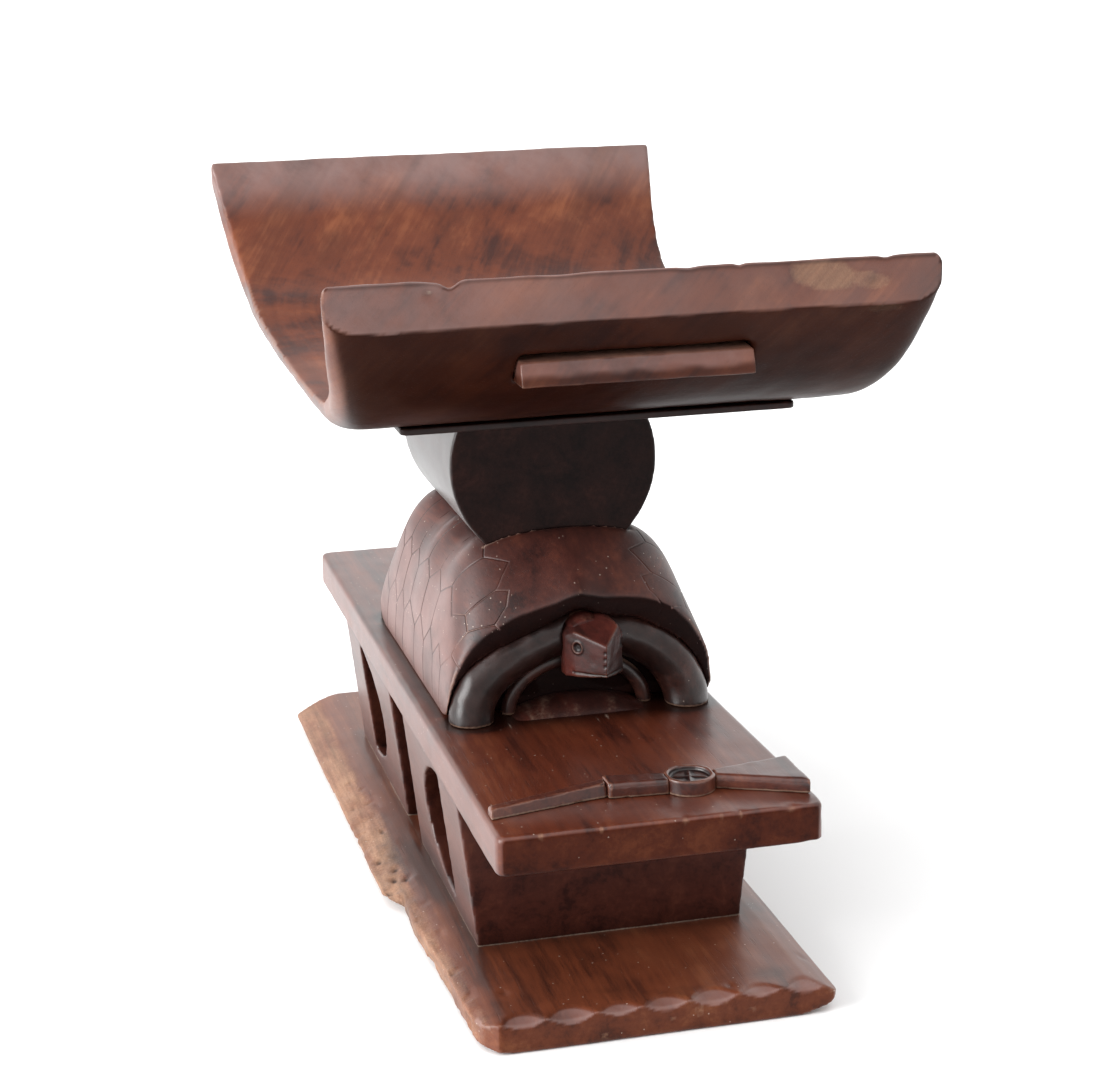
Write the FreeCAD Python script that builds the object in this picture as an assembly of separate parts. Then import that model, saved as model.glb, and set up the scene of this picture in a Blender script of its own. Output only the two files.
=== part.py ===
import FreeCAD, Part
import math
import os

# Carved dished stool with a tortoise under the support drum and a flintlock
# musket in relief on the deck. Millimetres. +Z up, the long axis is Y, the
# tortoise's head points to -Y. The origin is the centre of the footprint on
# the floor. The real stool is cut from one block of timber; here each carved
# element is a solid of its own, and neighbours meet on shared flat faces.

V = FreeCAD.Vector

# ---------------------------------------------------------------- dimensions
BASE_RIGHT = 95.0        # plank edge on the +X side
BASE_LEFT = 106.0        # plank edge on the -X side, behind the break
BASE_BROKEN = 96.0       # -X edge in front of the break
BASE_Y = 262.0           # half length of the base plank
BASE_T = 17.0            # thickness at the middle of the plank
BASE_FLAT = 80.0         # half width of the plank's flat top
BREAK_Y = -78.0          # where the -X edge is broken back
GOUGES = 7               # gouged scallops along the front top edge
GOUGE_R = 19.0

PIER_TOP_Z = 96.3
PIER_BOT_HALF = 72.0     # half width of a pier at the plank
PIER_TOP_HALF = 79.6     # half width of a pier under the deck
PIER_END_Y = 172.5
SLOT_HALF_Y = 20.7       # the open slot between the two piers
WIN_FLAT_Y = 122.0       # flat side of a D-shaped window
WIN_APEX_Y = 65.5        # bulging side of the window
WIN_LOW_Z = 25.0
WIN_HIGH_Z = 95.0 - 0.8

DECK_HALF = 81.6
DECK_FLARE = 2.0         # the front right corner stands out by this much
DECK_Y = 269.5
DECK_TOP_Z = 116.5
DECK_EDGE_R = 2.6

DRUM_R = 58.0
DRUM_Z = 248.0
DRUM_Y = 68.0
DRUM_FLAT_Z = 205.5      # level where the drum stands on the shell
LEDGE_Z = 291.5
LEDGE_HALF = 102.6
LEDGE_Y = 169.0
LEDGE_T = 4.0

SEAT_Y = 244.0
SEAT_LEAN = 3.3          # rear end up, front end down by this much
SEAT_EDGE_R = 16.0       # rounding of the long lower edges
SEAT_BOTTOM_Z = LEDGE_Z + LEDGE_T
SEAT_DISH_Z = 304.0      # lowest line of the dish

SHELL_X = 3.7            # the shell sits a little to the right of the middle
# cross section of the shell under the drum, from its own middle: distance
# out, height; the same on both sides
SHELL_HALF = [(0.0, 213.0), (12.0, 212.6), (24.0, 211.3), (37.0, 208.4), (49.0, 202.2),
              (58.0, 192.0), (65.0, 175.5), (70.0, 156.0), (73.3, 135.0), (74.3, 116.5)]
# the section at the lip, lower and rounder; the left shoulder is the lower
LIP_LEFT = [(0.0, 183.4), (12.0, 178.6), (24.0, 173.6), (35.5, 168.8), (48.0, 161.0),
            (58.5, 153.5), (66.0, 145.5), (71.5, 136.5), (74.2, 126.0), (74.5, 116.5)]
LIP_RIGHT = [(0.0, 183.4), (10.5, 179.6), (23.3, 177.2), (37.3, 173.9), (50.3, 167.9),
             (60.0, 160.4), (69.0, 150.3), (74.5, 140.4), (76.0, 130.0), (75.0, 116.5)]
SHELL_TIP_Y = 108.5      # the pointed lip over the head
SHELL_FOOT_Y = 84.0      # where the lip meets the deck
SHELL_LIP = 8.0          # thickness of the overhanging lip
CAVE_Y = 90.0            # back wall of the hollow under the lip

LEG_R = 12.3
LEG_FOOT_Y = 103.0       # the arch stands here and leans back to the shell
LEG_LEAN = 8.0
# centreline of the leg arch: x, height above the deck
LEG_PATH = [(-57.5, -12.0), (-57.5, 0.0), (-56.5, 8.5), (-53.0, 16.5), (-46.0, 24.5), (-35.0, 32.0),
            (-22.0, 38.5), (-8.0, 43.0), (3.0, 44.5), (15.0, 44.0), (28.0, 41.5), (41.0, 36.0),
            (51.0, 28.5), (58.5, 18.5), (62.8, 9.0), (64.0, 0.0), (64.0, -12.0)]
RIM_R = 4.2
RIM_Y = 95.0
RIM_X = 3.0
RIM_HALF = 38.5
RIM_RISE = 29.0
NECK_X, NECK_Z, NECK_R = 6.5, 160.5, 13.0
HEAD_BACK_Y = 107.0      # the neck ends and the head begins
HEAD_FRONT_Y = 134.0
MUSKET_Z = DECK_TOP_Z
PAN_X, PAN_Y, PAN_R, PAN_H = 25.5, -231.7, 13.0, 8.2


# ------------------------------------------------------------------- helpers
def wire_poly(points):
    return Part.makePolygon([V(*p) for p in points] + [V(*points[0])])


def prism(points, direction):
    return Part.Face(wire_poly(points)).extrude(V(*direction))


def spline(points):
    curve = Part.BSplineCurve()
    curve.interpolate([V(*p) for p in points])
    return curve.toShape()


def line(a, b):
    return Part.makeLine(V(*a), V(*b))


def box(x0, x1, y0, y1, z0, z1):
    return Part.makeBox(x1 - x0, y1 - y0, z1 - z0, V(x0, y0, z0))


def mirror_y(shape):
    return shape.mirror(V(0, 0, 0), V(0, 1, 0))


def lerp(table, t):
    for (a, va), (b, vb) in zip(table, table[1:]):
        if t <= b:
            return va + (vb - va) * (t - a) / (b - a)
    return table[-1][1]


# ---------------------------------------------------------------- base plank
def base_plate():
    # The plank's cross section is a thin lens: both long edges are thinned
    # from above and from below.
    top = [(-BASE_LEFT, 8.6), (-98.0, 12.0), (-88.0, 15.0), (-76.0, BASE_T)]
    right = [(BASE_FLAT, BASE_T), (88.0, 14.6), (BASE_RIGHT, 10.2)]
    under_r = [(BASE_RIGHT, 7.6), (88.0, 3.4), (76.0, 0.0)]
    under_l = [(-76.0, 0.0), (-92.0, 3.0), (-BASE_LEFT, 6.4)]
    y0 = -BASE_Y - 5
    section = [(x, y0, z) for x, z in top + right + under_r + under_l]
    lens = prism(section, (0, 2 * BASE_Y + 10, 0))
    plan = [(BASE_RIGHT - 3, -BASE_Y), (BASE_RIGHT, -BASE_Y + 5), (BASE_RIGHT, BASE_Y),
            (-80.0, BASE_Y), (-BASE_LEFT, BASE_Y - 12), (-BASE_LEFT + 1.5, BREAK_Y + 4),
            (-BASE_BROKEN + 1, BREAK_Y - 4), (-BASE_BROKEN - 1, BREAK_Y - 40),
            (-BASE_BROKEN + 3, -190.0), (-BASE_BROKEN + 4, -240.0),
            (-BASE_BROKEN + 8, -BASE_Y + 6), (-BASE_BROKEN + 15, -BASE_Y)]
    outline = prism([(x, y, -2) for x, y in plan], (0, 0, BASE_T + 4))
    plate = lens.common(outline)
    # gouged scallops along the front top edge
    pitch = (BASE_RIGHT - 6 + BASE_BROKEN - 14) / GOUGES
    tilt = V(0, -1, -0.5)
    for k in range(GOUGES):
        x = -BASE_BROKEN + 15 + pitch * (k + 0.5)
        bite = 4.6 + 0.7 * math.sin(2.1 * k)
        centre = V(x, -BASE_Y, BASE_T) + V(0, -0.447, 0.894) * (GOUGE_R - bite)
        start = centre - tilt * 40
        plate = plate.cut(Part.makeCylinder(GOUGE_R, 110, start, tilt))
    return plate.removeSplitter()


# -------------------------------------------------------------------- arcade
def pier(side):
    # side -1 is the front pier, +1 the rear one
    trapezoid = [(-PIER_BOT_HALF, 0, BASE_T), (PIER_BOT_HALF, 0, BASE_T),
                 (PIER_TOP_HALF, 0, PIER_TOP_Z), (-PIER_TOP_HALF, 0, PIER_TOP_Z)]
    block = prism(trapezoid, (0, PIER_END_Y - SLOT_HALF_Y, 0))
    block.translate(V(0, SLOT_HALF_Y, 0))
    # D-shaped window: upright flat side outwards, bulge towards the slot
    mid = (WIN_LOW_Z + WIN_HIGH_Z) / 2
    rise = (WIN_HIGH_Z - WIN_LOW_Z) / 2
    run = WIN_FLAT_Y - WIN_APEX_Y
    arc = []
    for k in range(13):
        a = math.pi / 2 + math.pi * k / 12
        arc.append((-120.0, WIN_FLAT_Y + run * math.cos(a), mid + rise * math.sin(a)))
    outline = Part.Wire([spline(arc), line(arc[-1], arc[0])])
    window = Part.Face(outline).extrude(V(240, 0, 0))
    block = block.cut(window)
    if side < 0:
        block = mirror_y(block)
    return block


def deck_plate():
    plan = [(-DECK_HALF, -DECK_Y), (DECK_HALF + DECK_FLARE, -DECK_Y), (DECK_HALF, -120.0),
            (DECK_HALF, DECK_Y), (-DECK_HALF, DECK_Y)]
    plate = prism([(x, y, PIER_TOP_Z) for x, y in plan], (0, 0, DECK_TOP_Z - PIER_TOP_Z))
    upright = [e for e in plate.Edges if abs(e.tangentAt(e.FirstParameter).z) > 0.9
               and abs(e.CenterOfMass.y) > 200]
    plate = plate.makeFillet(5.0, upright)
    upper = [e for e in plate.Edges if e.BoundBox.ZMin > DECK_TOP_Z - 0.1]
    return plate.makeFillet(DECK_EDGE_R, upper)


# ------------------------------------------------------------------ tortoise
def shell_section(y):
    # The crest is level over the drum and the section shrinks to the lips.
    t = max(0.0, (abs(y) - 68.0) / (SHELL_TIP_Y - 68.0))
    s = 0.55 * t + 0.45 * t * t
    left, right = [[(SHELL_X + side * ((1 - s) * a[0] + s * b[0]), y, (1 - s) * a[1] + s * b[1])
                    for a, b in zip(SHELL_HALF, lip)]
                   for side, lip in ((-1, LIP_LEFT), (1, LIP_RIGHT))]
    return list(reversed(left)) + right[1:]


def vault(y_limit):
    stations = [-y_limit, -104.0, -96.0, -87.0, -77.0, -68.0, -50.0, 0.0, 50.0, 68.0, 77.0, 87.0, 96.0, 104.0, y_limit]
    wires = []
    for y in stations:
        pts = shell_section(y)
        wires.append(Part.Wire([spline(pts), line(pts[-1], pts[0])]))
    return Part.makeLoft(wires, True, False)


def lip_plan(x):
    # y of the lip edge: a short ogee point over the head, swept back to the sides
    s = min(1.2, abs(x - SHELL_X) / 75.0)
    return SHELL_TIP_Y - 4.5 * s ** 0.7 - 2.0 * s ** 3.0


def cave(sign):
    # The hollow between the lip and the belly: an arch cut flat at its back.
    left = [(-67.5, DECK_TOP_Z), (-67.0, 126.0), (-63.5, 135.0), (-57.0, 143.0), (-49.0, 150.0),
            (-40.0, 156.0), (-28.0, 162.5), (-12.0, 169.5)]
    right = [(17.0, 171.0), (33.0, 168.0), (46.0, 161.5), (57.0, 152.5), (65.0, 142.0), (70.0, 130.0),
             (71.0, DECK_TOP_Z)]
    y0 = CAVE_Y
    pts = [(x, y0, z) for x, z in left + [(SHELL_X, LIP_LEFT[0][1] - SHELL_LIP)] + right]
    face = Part.Face(Part.Wire([spline(pts), line(pts[-1], pts[0])]))
    body = face.extrude(V(0, 60, 0))
    return mirror_y(body) if sign < 0 else body


def lip_foot(sign):
    # The lower ends of the lip curl back to the deck.
    pts = [(-95, SHELL_FOOT_Y, DECK_TOP_Z), (-95, 91.0, 117.6), (-95, 97.5, 120.5), (-95, 101.0, 125.0),
           (-95, 102.5, 132.0)]
    outline = Part.Wire([spline(pts), line(pts[-1], (-95, 150, 132.0)), line((-95, 150, 132.0), (-95, 150, 100.0)),
                         line((-95, 150, 100.0), (-95, SHELL_FOOT_Y, 100.0)),
                         line((-95, SHELL_FOOT_Y, 100.0), pts[0])])
    body = Part.Face(outline).extrude(V(190, 0, 0))
    return mirror_y(body) if sign < 0 else body


def tortoise_shell():
    body = vault(SHELL_TIP_Y + 1.0)
    xs = [-90 + 180.0 * k / 36 for k in range(37)]
    for sign in (-1, 1):
        left = [(x, sign * lip_plan(x), 100.0) for x in xs if x < SHELL_X] + [(SHELL_X, sign * SHELL_TIP_Y, 100.0)]
        right = [(SHELL_X, sign * SHELL_TIP_Y, 100.0)] + [(x, sign * lip_plan(x), 100.0) for x in xs if x > SHELL_X]
        far = sign * 170.0
        outline = Part.Wire([spline(left), spline(right), line(right[-1], (90.0, far, 100.0)),
                             line((90.0, far, 100.0), (-90.0, far, 100.0)),
                             line((-90.0, far, 100.0), left[0])])
        body = body.cut(Part.Face(outline).extrude(V(0, 0, 140)))
        body = body.cut(cave(sign)).cut(lip_foot(sign))
    # flat seat for the drum
    body = body.cut(box(-43.5, 43.5, -DRUM_Y, DRUM_Y, DRUM_FLAT_Z, 230.0))
    return body


def bent_bar(path, radius, y_limit, sign):
    # A round bar along a path, standing on the deck and cut flat where it
    # grows out of the wall behind it.
    spine = Part.Wire([spline(path)])
    ring = Part.Wire([Part.makeCircle(radius, V(*path[0]), V(0, 0, 1))])
    bar = Part.BRepOffsetAPI.MakePipeShell(spine)
    bar.add(ring)
    bar.setBiNormalMode(V(0, 1, 0))
    bar.build()
    bar.makeSolid()
    bar = bar.shape().common(box(-100, 100, CAVE_Y, y_limit, DECK_TOP_Z, 230))
    return mirror_y(bar) if sign < 0 else bar


def leg_arch(sign, spare=0.0):
    top = max(z for x, z in LEG_PATH)
    path = [(x, LEG_FOOT_Y - LEG_LEAN * max(0.0, z) / top, DECK_TOP_Z + z) for x, z in LEG_PATH]
    return bent_bar(path, LEG_R + spare, LEG_FOOT_Y + 20, sign)


def belly_rim(sign):
    path = [(RIM_X + RIM_HALF, RIM_Y, DECK_TOP_Z - 12.0), (RIM_X + RIM_HALF, RIM_Y, DECK_TOP_Z)]
    for k in range(2, 23):
        a = math.pi * k / 24
        path.append((RIM_X + RIM_HALF * math.cos(a), RIM_Y, DECK_TOP_Z + RIM_RISE * math.sin(a)))
    path += [(RIM_X - RIM_HALF, RIM_Y, DECK_TOP_Z), (RIM_X - RIM_HALF, RIM_Y, DECK_TOP_Z - 12.0)]
    return bent_bar(path, RIM_R, RIM_Y + 20, sign)


def belly(sign):
    # Low swelling of the plastron on the deck, inside the arch.
    pts = []
    for k in range(17):
        a = math.pi * k / 16
        pts.append((RIM_X + 31.0 * math.cos(a), CAVE_Y, DECK_TOP_Z + 9.5 * math.sin(a)))
    face = Part.Face(Part.Wire([spline(pts), line(pts[-1], pts[0])]))
    body = face.extrude(V(0, 15.0, 0))
    return mirror_y(body) if sign < 0 else body


def neck():
    return Part.makeCylinder(NECK_R, HEAD_BACK_Y - CAVE_Y, V(NECK_X, -CAVE_Y, NECK_Z), V(0, -1, 0))


def head():
    # Wedge of a head: two flat cheeks meeting in an upright ridge at the
    # nose, a flat crown falling forwards and a jaw rising to the nose.
    back, tip = -HEAD_BACK_Y, -HEAD_FRONT_Y
    plan = [(-8.0, back), (-8.5, back - 4.0), (-4.5, back - 11.0), (9.0, tip), (22.5, back - 9.5),
            (22.0, back - 2.0), (19.0, back)]
    body = prism([(x, y, 140.0) for x, y in plan], (0, 0, 40.0))
    crown = prism([(-40, back, 172.5), (-40, tip - 10, 159.5), (-40, tip - 10, 190), (-40, back, 190)], (80, 0, 0))
    jaw = prism([(-40, back, 141.5), (-40, tip - 10, 148.5), (-40, tip - 10, 130), (-40, back, 130)], (80, 0, 0))
    body = body.cut(crown).cut(jaw)
    # the crown is rounded over to both sides at the back
    dome = Part.makeCylinder(17.5, 60, V(6.5, back + 5, 155.5), V(0, -1, 0))
    return body.common(dome.fuse(box(-40, 40, tip - 10, back + 5, 130, 163.5)))


def tail():
    # Short pointed tail, drawn down over the hind arch.
    y0 = CAVE_Y
    root = [(-6.0, y0, 147.0), (12.0, y0, 147.0), (15.0, y0, 160.0), (3.0, y0, 168.0), (-9.0, y0, 160.0)]
    end = [(0.5, y0 + 34.0, 132.0), (5.5, y0 + 34.0, 132.0), (6.5, y0 + 34.0, 136.5), (3.0, y0 + 34.0, 139.5),
           (-0.5, y0 + 34.0, 136.5)]
    return Part.makeLoft([wire_poly(root), wire_poly(end)], True, True)


# -------------------------------------------------------------------- musket
def musket_barrel():
    z = MUSKET_Z
    a = [(-79.0, -246.5, z), (-79.0, -237.0, z), (-79.0, -238.6, z + 5.2), (-79.0, -244.4, z + 5.2)]
    b = [(-17.0, -232.6, z), (-17.0, -221.6, z), (-17.0, -223.4, z + 7.2), (-17.0, -230.6, z + 7.2)]
    return Part.makeLoft([wire_poly(a), wire_poly(b)], True, True)


def musket_breech():
    z = MUSKET_Z
    plan = [(-17.0, -235.0, z), (13.5, -237.4, z), (13.5, -225.2, z), (-17.0, -220.6, z)]
    body = prism(plan, (0, 0, 8.0))
    top = [e for e in body.Edges if e.BoundBox.ZMin > z + 7.9 and e.BoundBox.XLength > 10]
    return body.makeChamfer(1.6, top)


def musket_pan():
    cup = Part.makeCylinder(PAN_R, PAN_H, V(PAN_X, PAN_Y, MUSKET_Z))
    cup = cup.cut(Part.makeCylinder(PAN_R - 2.6, 2.4, V(PAN_X, PAN_Y, MUSKET_Z + PAN_H - 2.4)))
    return cup.common(box(13.5, 37.5, -260, -200, MUSKET_Z, MUSKET_Z + 20))


def musket_butt():
    z = MUSKET_Z
    plan = [(37.5, -236.6, z), (80.4, -256.5, z), (80.4, -218.0, z), (37.5, -226.8, z)]
    body = prism(plan, (0, 0, 7.6))
    top = [e for e in body.Edges if e.BoundBox.ZMin > z + 7.5 and e.BoundBox.XLength > 10]
    return body.makeChamfer(1.8, top)


# ---------------------------------------------------------------------- drum
def support_drum():
    drum = Part.makeCylinder(DRUM_R, 2 * DRUM_Y, V(0, -DRUM_Y, DRUM_Z), V(0, 1, 0))
    return drum.common(box(-80, 80, -DRUM_Y, DRUM_Y, DRUM_FLAT_Z, LEDGE_Z))


def seat_ledge():
    ledge = box(-LEDGE_HALF, LEDGE_HALF, -LEDGE_Y, LEDGE_Y, LEDGE_Z, LEDGE_Z + LEDGE_T)
    upright = [e for e in ledge.Edges if abs(e.tangentAt(e.FirstParameter).z) > 0.9]
    return ledge.makeFillet(4.0, upright)


# ---------------------------------------------------------------------- seat
# upper surface of the dish at the middle of its width: distance from the
# middle, height above the lowest line
DISH = [(0.0, 0.0), (60.0, 0.0), (120.0, 2.0), (150.0, 6.0), (165.0, 11.0), (180.0, 19.5),
        (195.0, 31.0), (210.0, 44.0), (225.0, 59.0), (235.0, 70.0), (SEAT_Y, 80.0)]
# underside, above the ledge
HULL = [(0.0, 0.0), (150.0, 0.0), (164.0, 0.4), (175.0, 3.0), (185.0, 6.5), (200.0, 14.5),
        (215.0, 26.5), (230.0, 44.0), (238.0, 55.5), (SEAT_Y, 64.5)]
# half widths of the two long sides, from the front end to the rear end
SIDE_L = [(-SEAT_Y, 150.5), (-225.0, 146.5), (-200.0, 141.5), (-170.0, 138.0), (-120.0, 137.0),
          (0.0, 136.5), (120.0, 134.5), (165.0, 134.0), (200.0, 137.5), (225.0, 141.5), (SEAT_Y, 145.0)]
SIDE_R = [(-SEAT_Y, 149.5), (-225.0, 147.5), (-200.0, 144.0), (-170.0, 140.5), (-120.0, 138.0),
          (0.0, 135.5), (120.0, 134.0), (165.0, 134.0), (200.0, 137.0), (225.0, 142.0), (SEAT_Y, 146.0)]
STATIONS = [-SEAT_Y, -238.0, -230.0, -222.0, -212.0, -200.0, -188.0, -176.0, -164.0, -150.0, -120.0,
            -60.0, 0.0, 60.0, 120.0, 150.0, 164.0, 176.0, 188.0, 200.0, 212.0, 222.0, 230.0, 238.0, SEAT_Y]


def smooth(table, t):
    # monotone cubic through the table
    for k in range(len(table) - 1):
        a, va = table[k]
        b, vb = table[k + 1]
        if t <= b:
            h = b - a
            d = (vb - va) / h
            before = (va - table[k - 1][1]) / (a - table[k - 1][0]) if k else d
            after = (table[k + 2][1] - vb) / (table[k + 2][0] - b) if k + 2 < len(table) else d
            ma = 0.0 if before * d <= 0 else 2 * before * d / (before + d)
            mb = 0.0 if after * d <= 0 else 2 * after * d / (after + d)
            u = (t - a) / h
            return ((2 * u ** 3 - 3 * u ** 2 + 1) * va + (u ** 3 - 2 * u ** 2 + u) * h * ma
                    + (3 * u ** 2 - 2 * u ** 3) * vb + (u ** 3 - u ** 2) * h * mb)
    return table[-1][1]


def dish_z(y):
    # the rear end stands a little higher than the front one
    return SEAT_DISH_Z + smooth(DISH, abs(y)) + SEAT_LEAN * y / SEAT_Y


def hull_z(y):
    return SEAT_BOTTOM_Z + smooth(HULL, abs(y)) + SEAT_LEAN * y / SEAT_Y * max(0.0, (abs(y) - 170.0) / 74.0)


def seat():
    wires = []
    for y in STATIONS:
        top, low = dish_z(y), hull_z(y)
        left, right = -smooth(SIDE_L, y), smooth(SIDE_R, y)
        rise = min(SEAT_EDGE_R, 0.5 * (top - low))
        run = SEAT_EDGE_R
        pts = []
        for k in range(7):
            a = math.pi / 2 * k / 6
            pts.append((left + run * (1 - math.cos(a)), y, low + rise * (1 - math.sin(a))))
        for x in (-90.0, -45.0, 0.0, 45.0, 90.0):
            pts.append((x, y, low))
        for k in range(7):
            a = math.pi / 2 * k / 6
            pts.append((right - run * (1 - math.sin(a)), y, low + rise * (1 - math.cos(a))))
        wires.append(Part.Wire([line((right, y, top), (left, y, top)), line((left, y, top), pts[0]),
                                spline(pts), line(pts[-1], (right, y, top))]))
    body = Part.makeLoft(wires, True, False)
    # the flat that beds on the ledge
    return body.common(box(-200, 200, -300, 300, SEAT_BOTTOM_Z, 420))


LUG_X0, LUG_X1, LUG_Z0, LUG_Z1, LUG_OUT, LUG_IN = -57.0, 58.0, 325.5, 340.5, 238.0, 206.0


def lug(sign):
    bar = box(LUG_X0, LUG_X1, LUG_IN, LUG_OUT, LUG_Z0, LUG_Z1)
    return mirror_y(bar) if sign < 0 else bar


# --------------------------------------------------------------------- build
def build():
    parts = {}
    parts["base_plate"] = base_plate()
    parts["front_pier"] = pier(-1)
    parts["rear_pier"] = pier(1)
    parts["deck_plate"] = deck_plate()
    parts["tortoise_shell"] = tortoise_shell()
    # the four legs: each pair meets in the middle, behind the neck or tail
    halves = {"left": box(-120, NECK_X, -140, 140, 100, 230), "right": box(NECK_X, 120, -140, 140, 100, 230)}
    for end, sign in (("front", -1), ("hind", 1)):
        arch = leg_arch(sign)
        for hand, room in halves.items():
            parts["%s_%s_leg" % (end, hand)] = arch.common(room)
    parts["front_belly_rim"] = belly_rim(-1)
    parts["rear_belly_rim"] = belly_rim(1)
    parts["front_belly"] = belly(-1)
    parts["rear_belly"] = belly(1)
    parts["tortoise_neck"] = neck()
    parts["tortoise_head"] = head()
    parts["tortoise_tail"] = tail()
    parts["musket_barrel"] = musket_barrel()
    parts["musket_breech"] = musket_breech()
    parts["musket_pan"] = musket_pan()
    parts["musket_butt"] = musket_butt()
    parts["support_drum"] = support_drum()
    parts["seat_ledge"] = seat_ledge()
    bars = {-1: lug(-1), 1: lug(1)}
    body = seat()
    parts["seat"] = body.cut(bars[-1]).cut(bars[1])
    parts["front_lug"] = bars[-1]
    parts["rear_lug"] = bars[1]
    # where two rounded forms cross, one is cut back to let the other through
    shell = parts["tortoise_shell"]
    for sign in (-1, 1):
        shell = shell.cut(leg_arch(sign, 0.3))
    parts["tortoise_shell"] = shell
    room = Part.makeCylinder(NECK_R + 0.3, 60, V(NECK_X, -CAVE_Y, NECK_Z), V(0, -1, 0))
    for name in ("front_left_leg", "front_right_leg", "front_belly_rim"):
        parts[name] = parts[name].cut(room)
    for name in ("hind_left_leg", "hind_right_leg", "rear_belly_rim"):
        parts[name] = parts[name].cut(parts["tortoise_tail"])
    return parts


os.makedirs("parts", exist_ok=True)
for name, shape in build().items():
    if shape.ShapeType == "Compound" and len(shape.Solids) == 1:
        shape = shape.Solids[0]
    shape.exportStep("parts/%s.step" % name)
    box_ = shape.BoundBox
    print("%-16s solids %d valid %s vol %.0f  x %.1f %.1f y %.1f %.1f z %.1f %.1f" % (
        name, len(shape.Solids), shape.isValid(), shape.Volume,
        box_.XMin, box_.XMax, box_.YMin, box_.YMax, box_.ZMin, box_.ZMax))
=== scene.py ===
import math
import bpy
import bmesh
import numpy as np
from mathutils import Matrix, Vector


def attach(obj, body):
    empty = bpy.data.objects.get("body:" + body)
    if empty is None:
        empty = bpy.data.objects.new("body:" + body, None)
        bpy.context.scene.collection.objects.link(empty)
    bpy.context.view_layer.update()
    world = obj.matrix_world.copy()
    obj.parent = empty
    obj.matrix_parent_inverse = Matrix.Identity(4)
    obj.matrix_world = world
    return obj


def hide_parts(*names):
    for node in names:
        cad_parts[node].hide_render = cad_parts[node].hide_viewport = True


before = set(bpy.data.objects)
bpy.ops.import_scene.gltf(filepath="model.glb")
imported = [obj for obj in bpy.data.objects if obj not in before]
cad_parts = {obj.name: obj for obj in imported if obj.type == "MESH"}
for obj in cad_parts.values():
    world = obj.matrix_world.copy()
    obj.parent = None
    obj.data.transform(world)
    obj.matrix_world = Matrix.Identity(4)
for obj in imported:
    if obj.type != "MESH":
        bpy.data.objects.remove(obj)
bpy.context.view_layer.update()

MM = 0.001


# =================================================================== numbers
def lattice(ix, iy, iz, seed):
    h = (ix * 374761393 + iy * 668265263 + iz * 2147483647 + seed * 974634777) & 0xFFFFFFFF
    h = ((h ^ (h >> 13)) * 1274126177) & 0xFFFFFFFF
    h = (h ^ (h >> 16)) & 0xFFFF
    return h / 32767.5 - 1.0


def noise(p, size, seed=0):
    """Smooth value noise from -1 to 1. p in mm, size in mm, one number or three."""
    q = p / np.asarray(size, float)
    i = np.floor(q).astype(np.int64)
    f = q - i
    f = f * f * f * (f * (f * 6 - 15) + 10)
    out = np.zeros(len(p))
    for dx in (0, 1):
        wx = f[:, 0] if dx else 1 - f[:, 0]
        for dy in (0, 1):
            wy = f[:, 1] if dy else 1 - f[:, 1]
            for dz in (0, 1):
                wz = f[:, 2] if dz else 1 - f[:, 2]
                out += wx * wy * wz * lattice(i[:, 0] + dx, i[:, 1] + dy, i[:, 2] + dz, seed)
    return out


def fbm(p, size, octaves=3, seed=0, gain=0.5):
    out, amp, total = np.zeros(len(p)), 1.0, 0.0
    size = np.asarray(size, float)
    for k in range(octaves):
        out += amp * noise(p, size / 2 ** k, seed + 17 * k)
        total += amp
        amp *= gain
    return out / total


def sstep(a, b, v):
    t = np.clip((v - a) / (b - a), 0.0, 1.0)
    return t * t * (3 - 2 * t)


def bump_at(v, centre, width):
    return np.exp(-((v - centre) / width) ** 2)


# ==================================================================== meshes
def coords(me):
    co = np.empty(len(me.vertices) * 3)
    me.vertices.foreach_get("co", co)
    return co.reshape(-1, 3) / MM


def put(me, co):
    me.vertices.foreach_set("co", (co * MM).ravel())
    me.update()


def edges_of(me):
    e = np.empty(len(me.edges) * 2, np.int64)
    me.edges.foreach_get("vertices", e)
    return e.reshape(-1, 2)


def normals(me):
    n = np.empty(len(me.vertices) * 3)
    me.vertex_normals.foreach_get("vector", n)
    return n.reshape(-1, 3)


def neighbour_mean(values, e, count):
    if values.ndim == 1:
        s = np.bincount(e[:, 0], values[e[:, 1]], count) + np.bincount(e[:, 1], values[e[:, 0]], count)
        d = np.bincount(e.ravel(), minlength=count)
        return s / np.maximum(d, 1)
    return np.stack([neighbour_mean(values[:, k], e, count) for k in range(values.shape[1])], 1)


def relax(me, times, factor=0.5, keep=None):
    co, e = coords(me), edges_of(me)
    for _ in range(times):
        step = neighbour_mean(co, e, len(co)) - co
        if keep is not None:
            step *= keep[:, None]
        co = co + factor * step
    put(me, co)


def soften(values, me, times):
    e = edges_of(me)
    for _ in range(times):
        values = 0.5 * values + 0.5 * neighbour_mean(values, e, len(values))
    return values


def node_mesh(*names):
    """A welded copy of CAD nodes' meshes."""
    bm = bmesh.new()
    for name in names:
        bm.from_mesh(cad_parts[name].data)
    bmesh.ops.remove_doubles(bm, verts=bm.verts, dist=1e-6)
    me = bpy.data.meshes.new(names[0] + "_copy")
    bm.to_mesh(me)
    bm.free()
    me.materials.clear()
    return me


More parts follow.
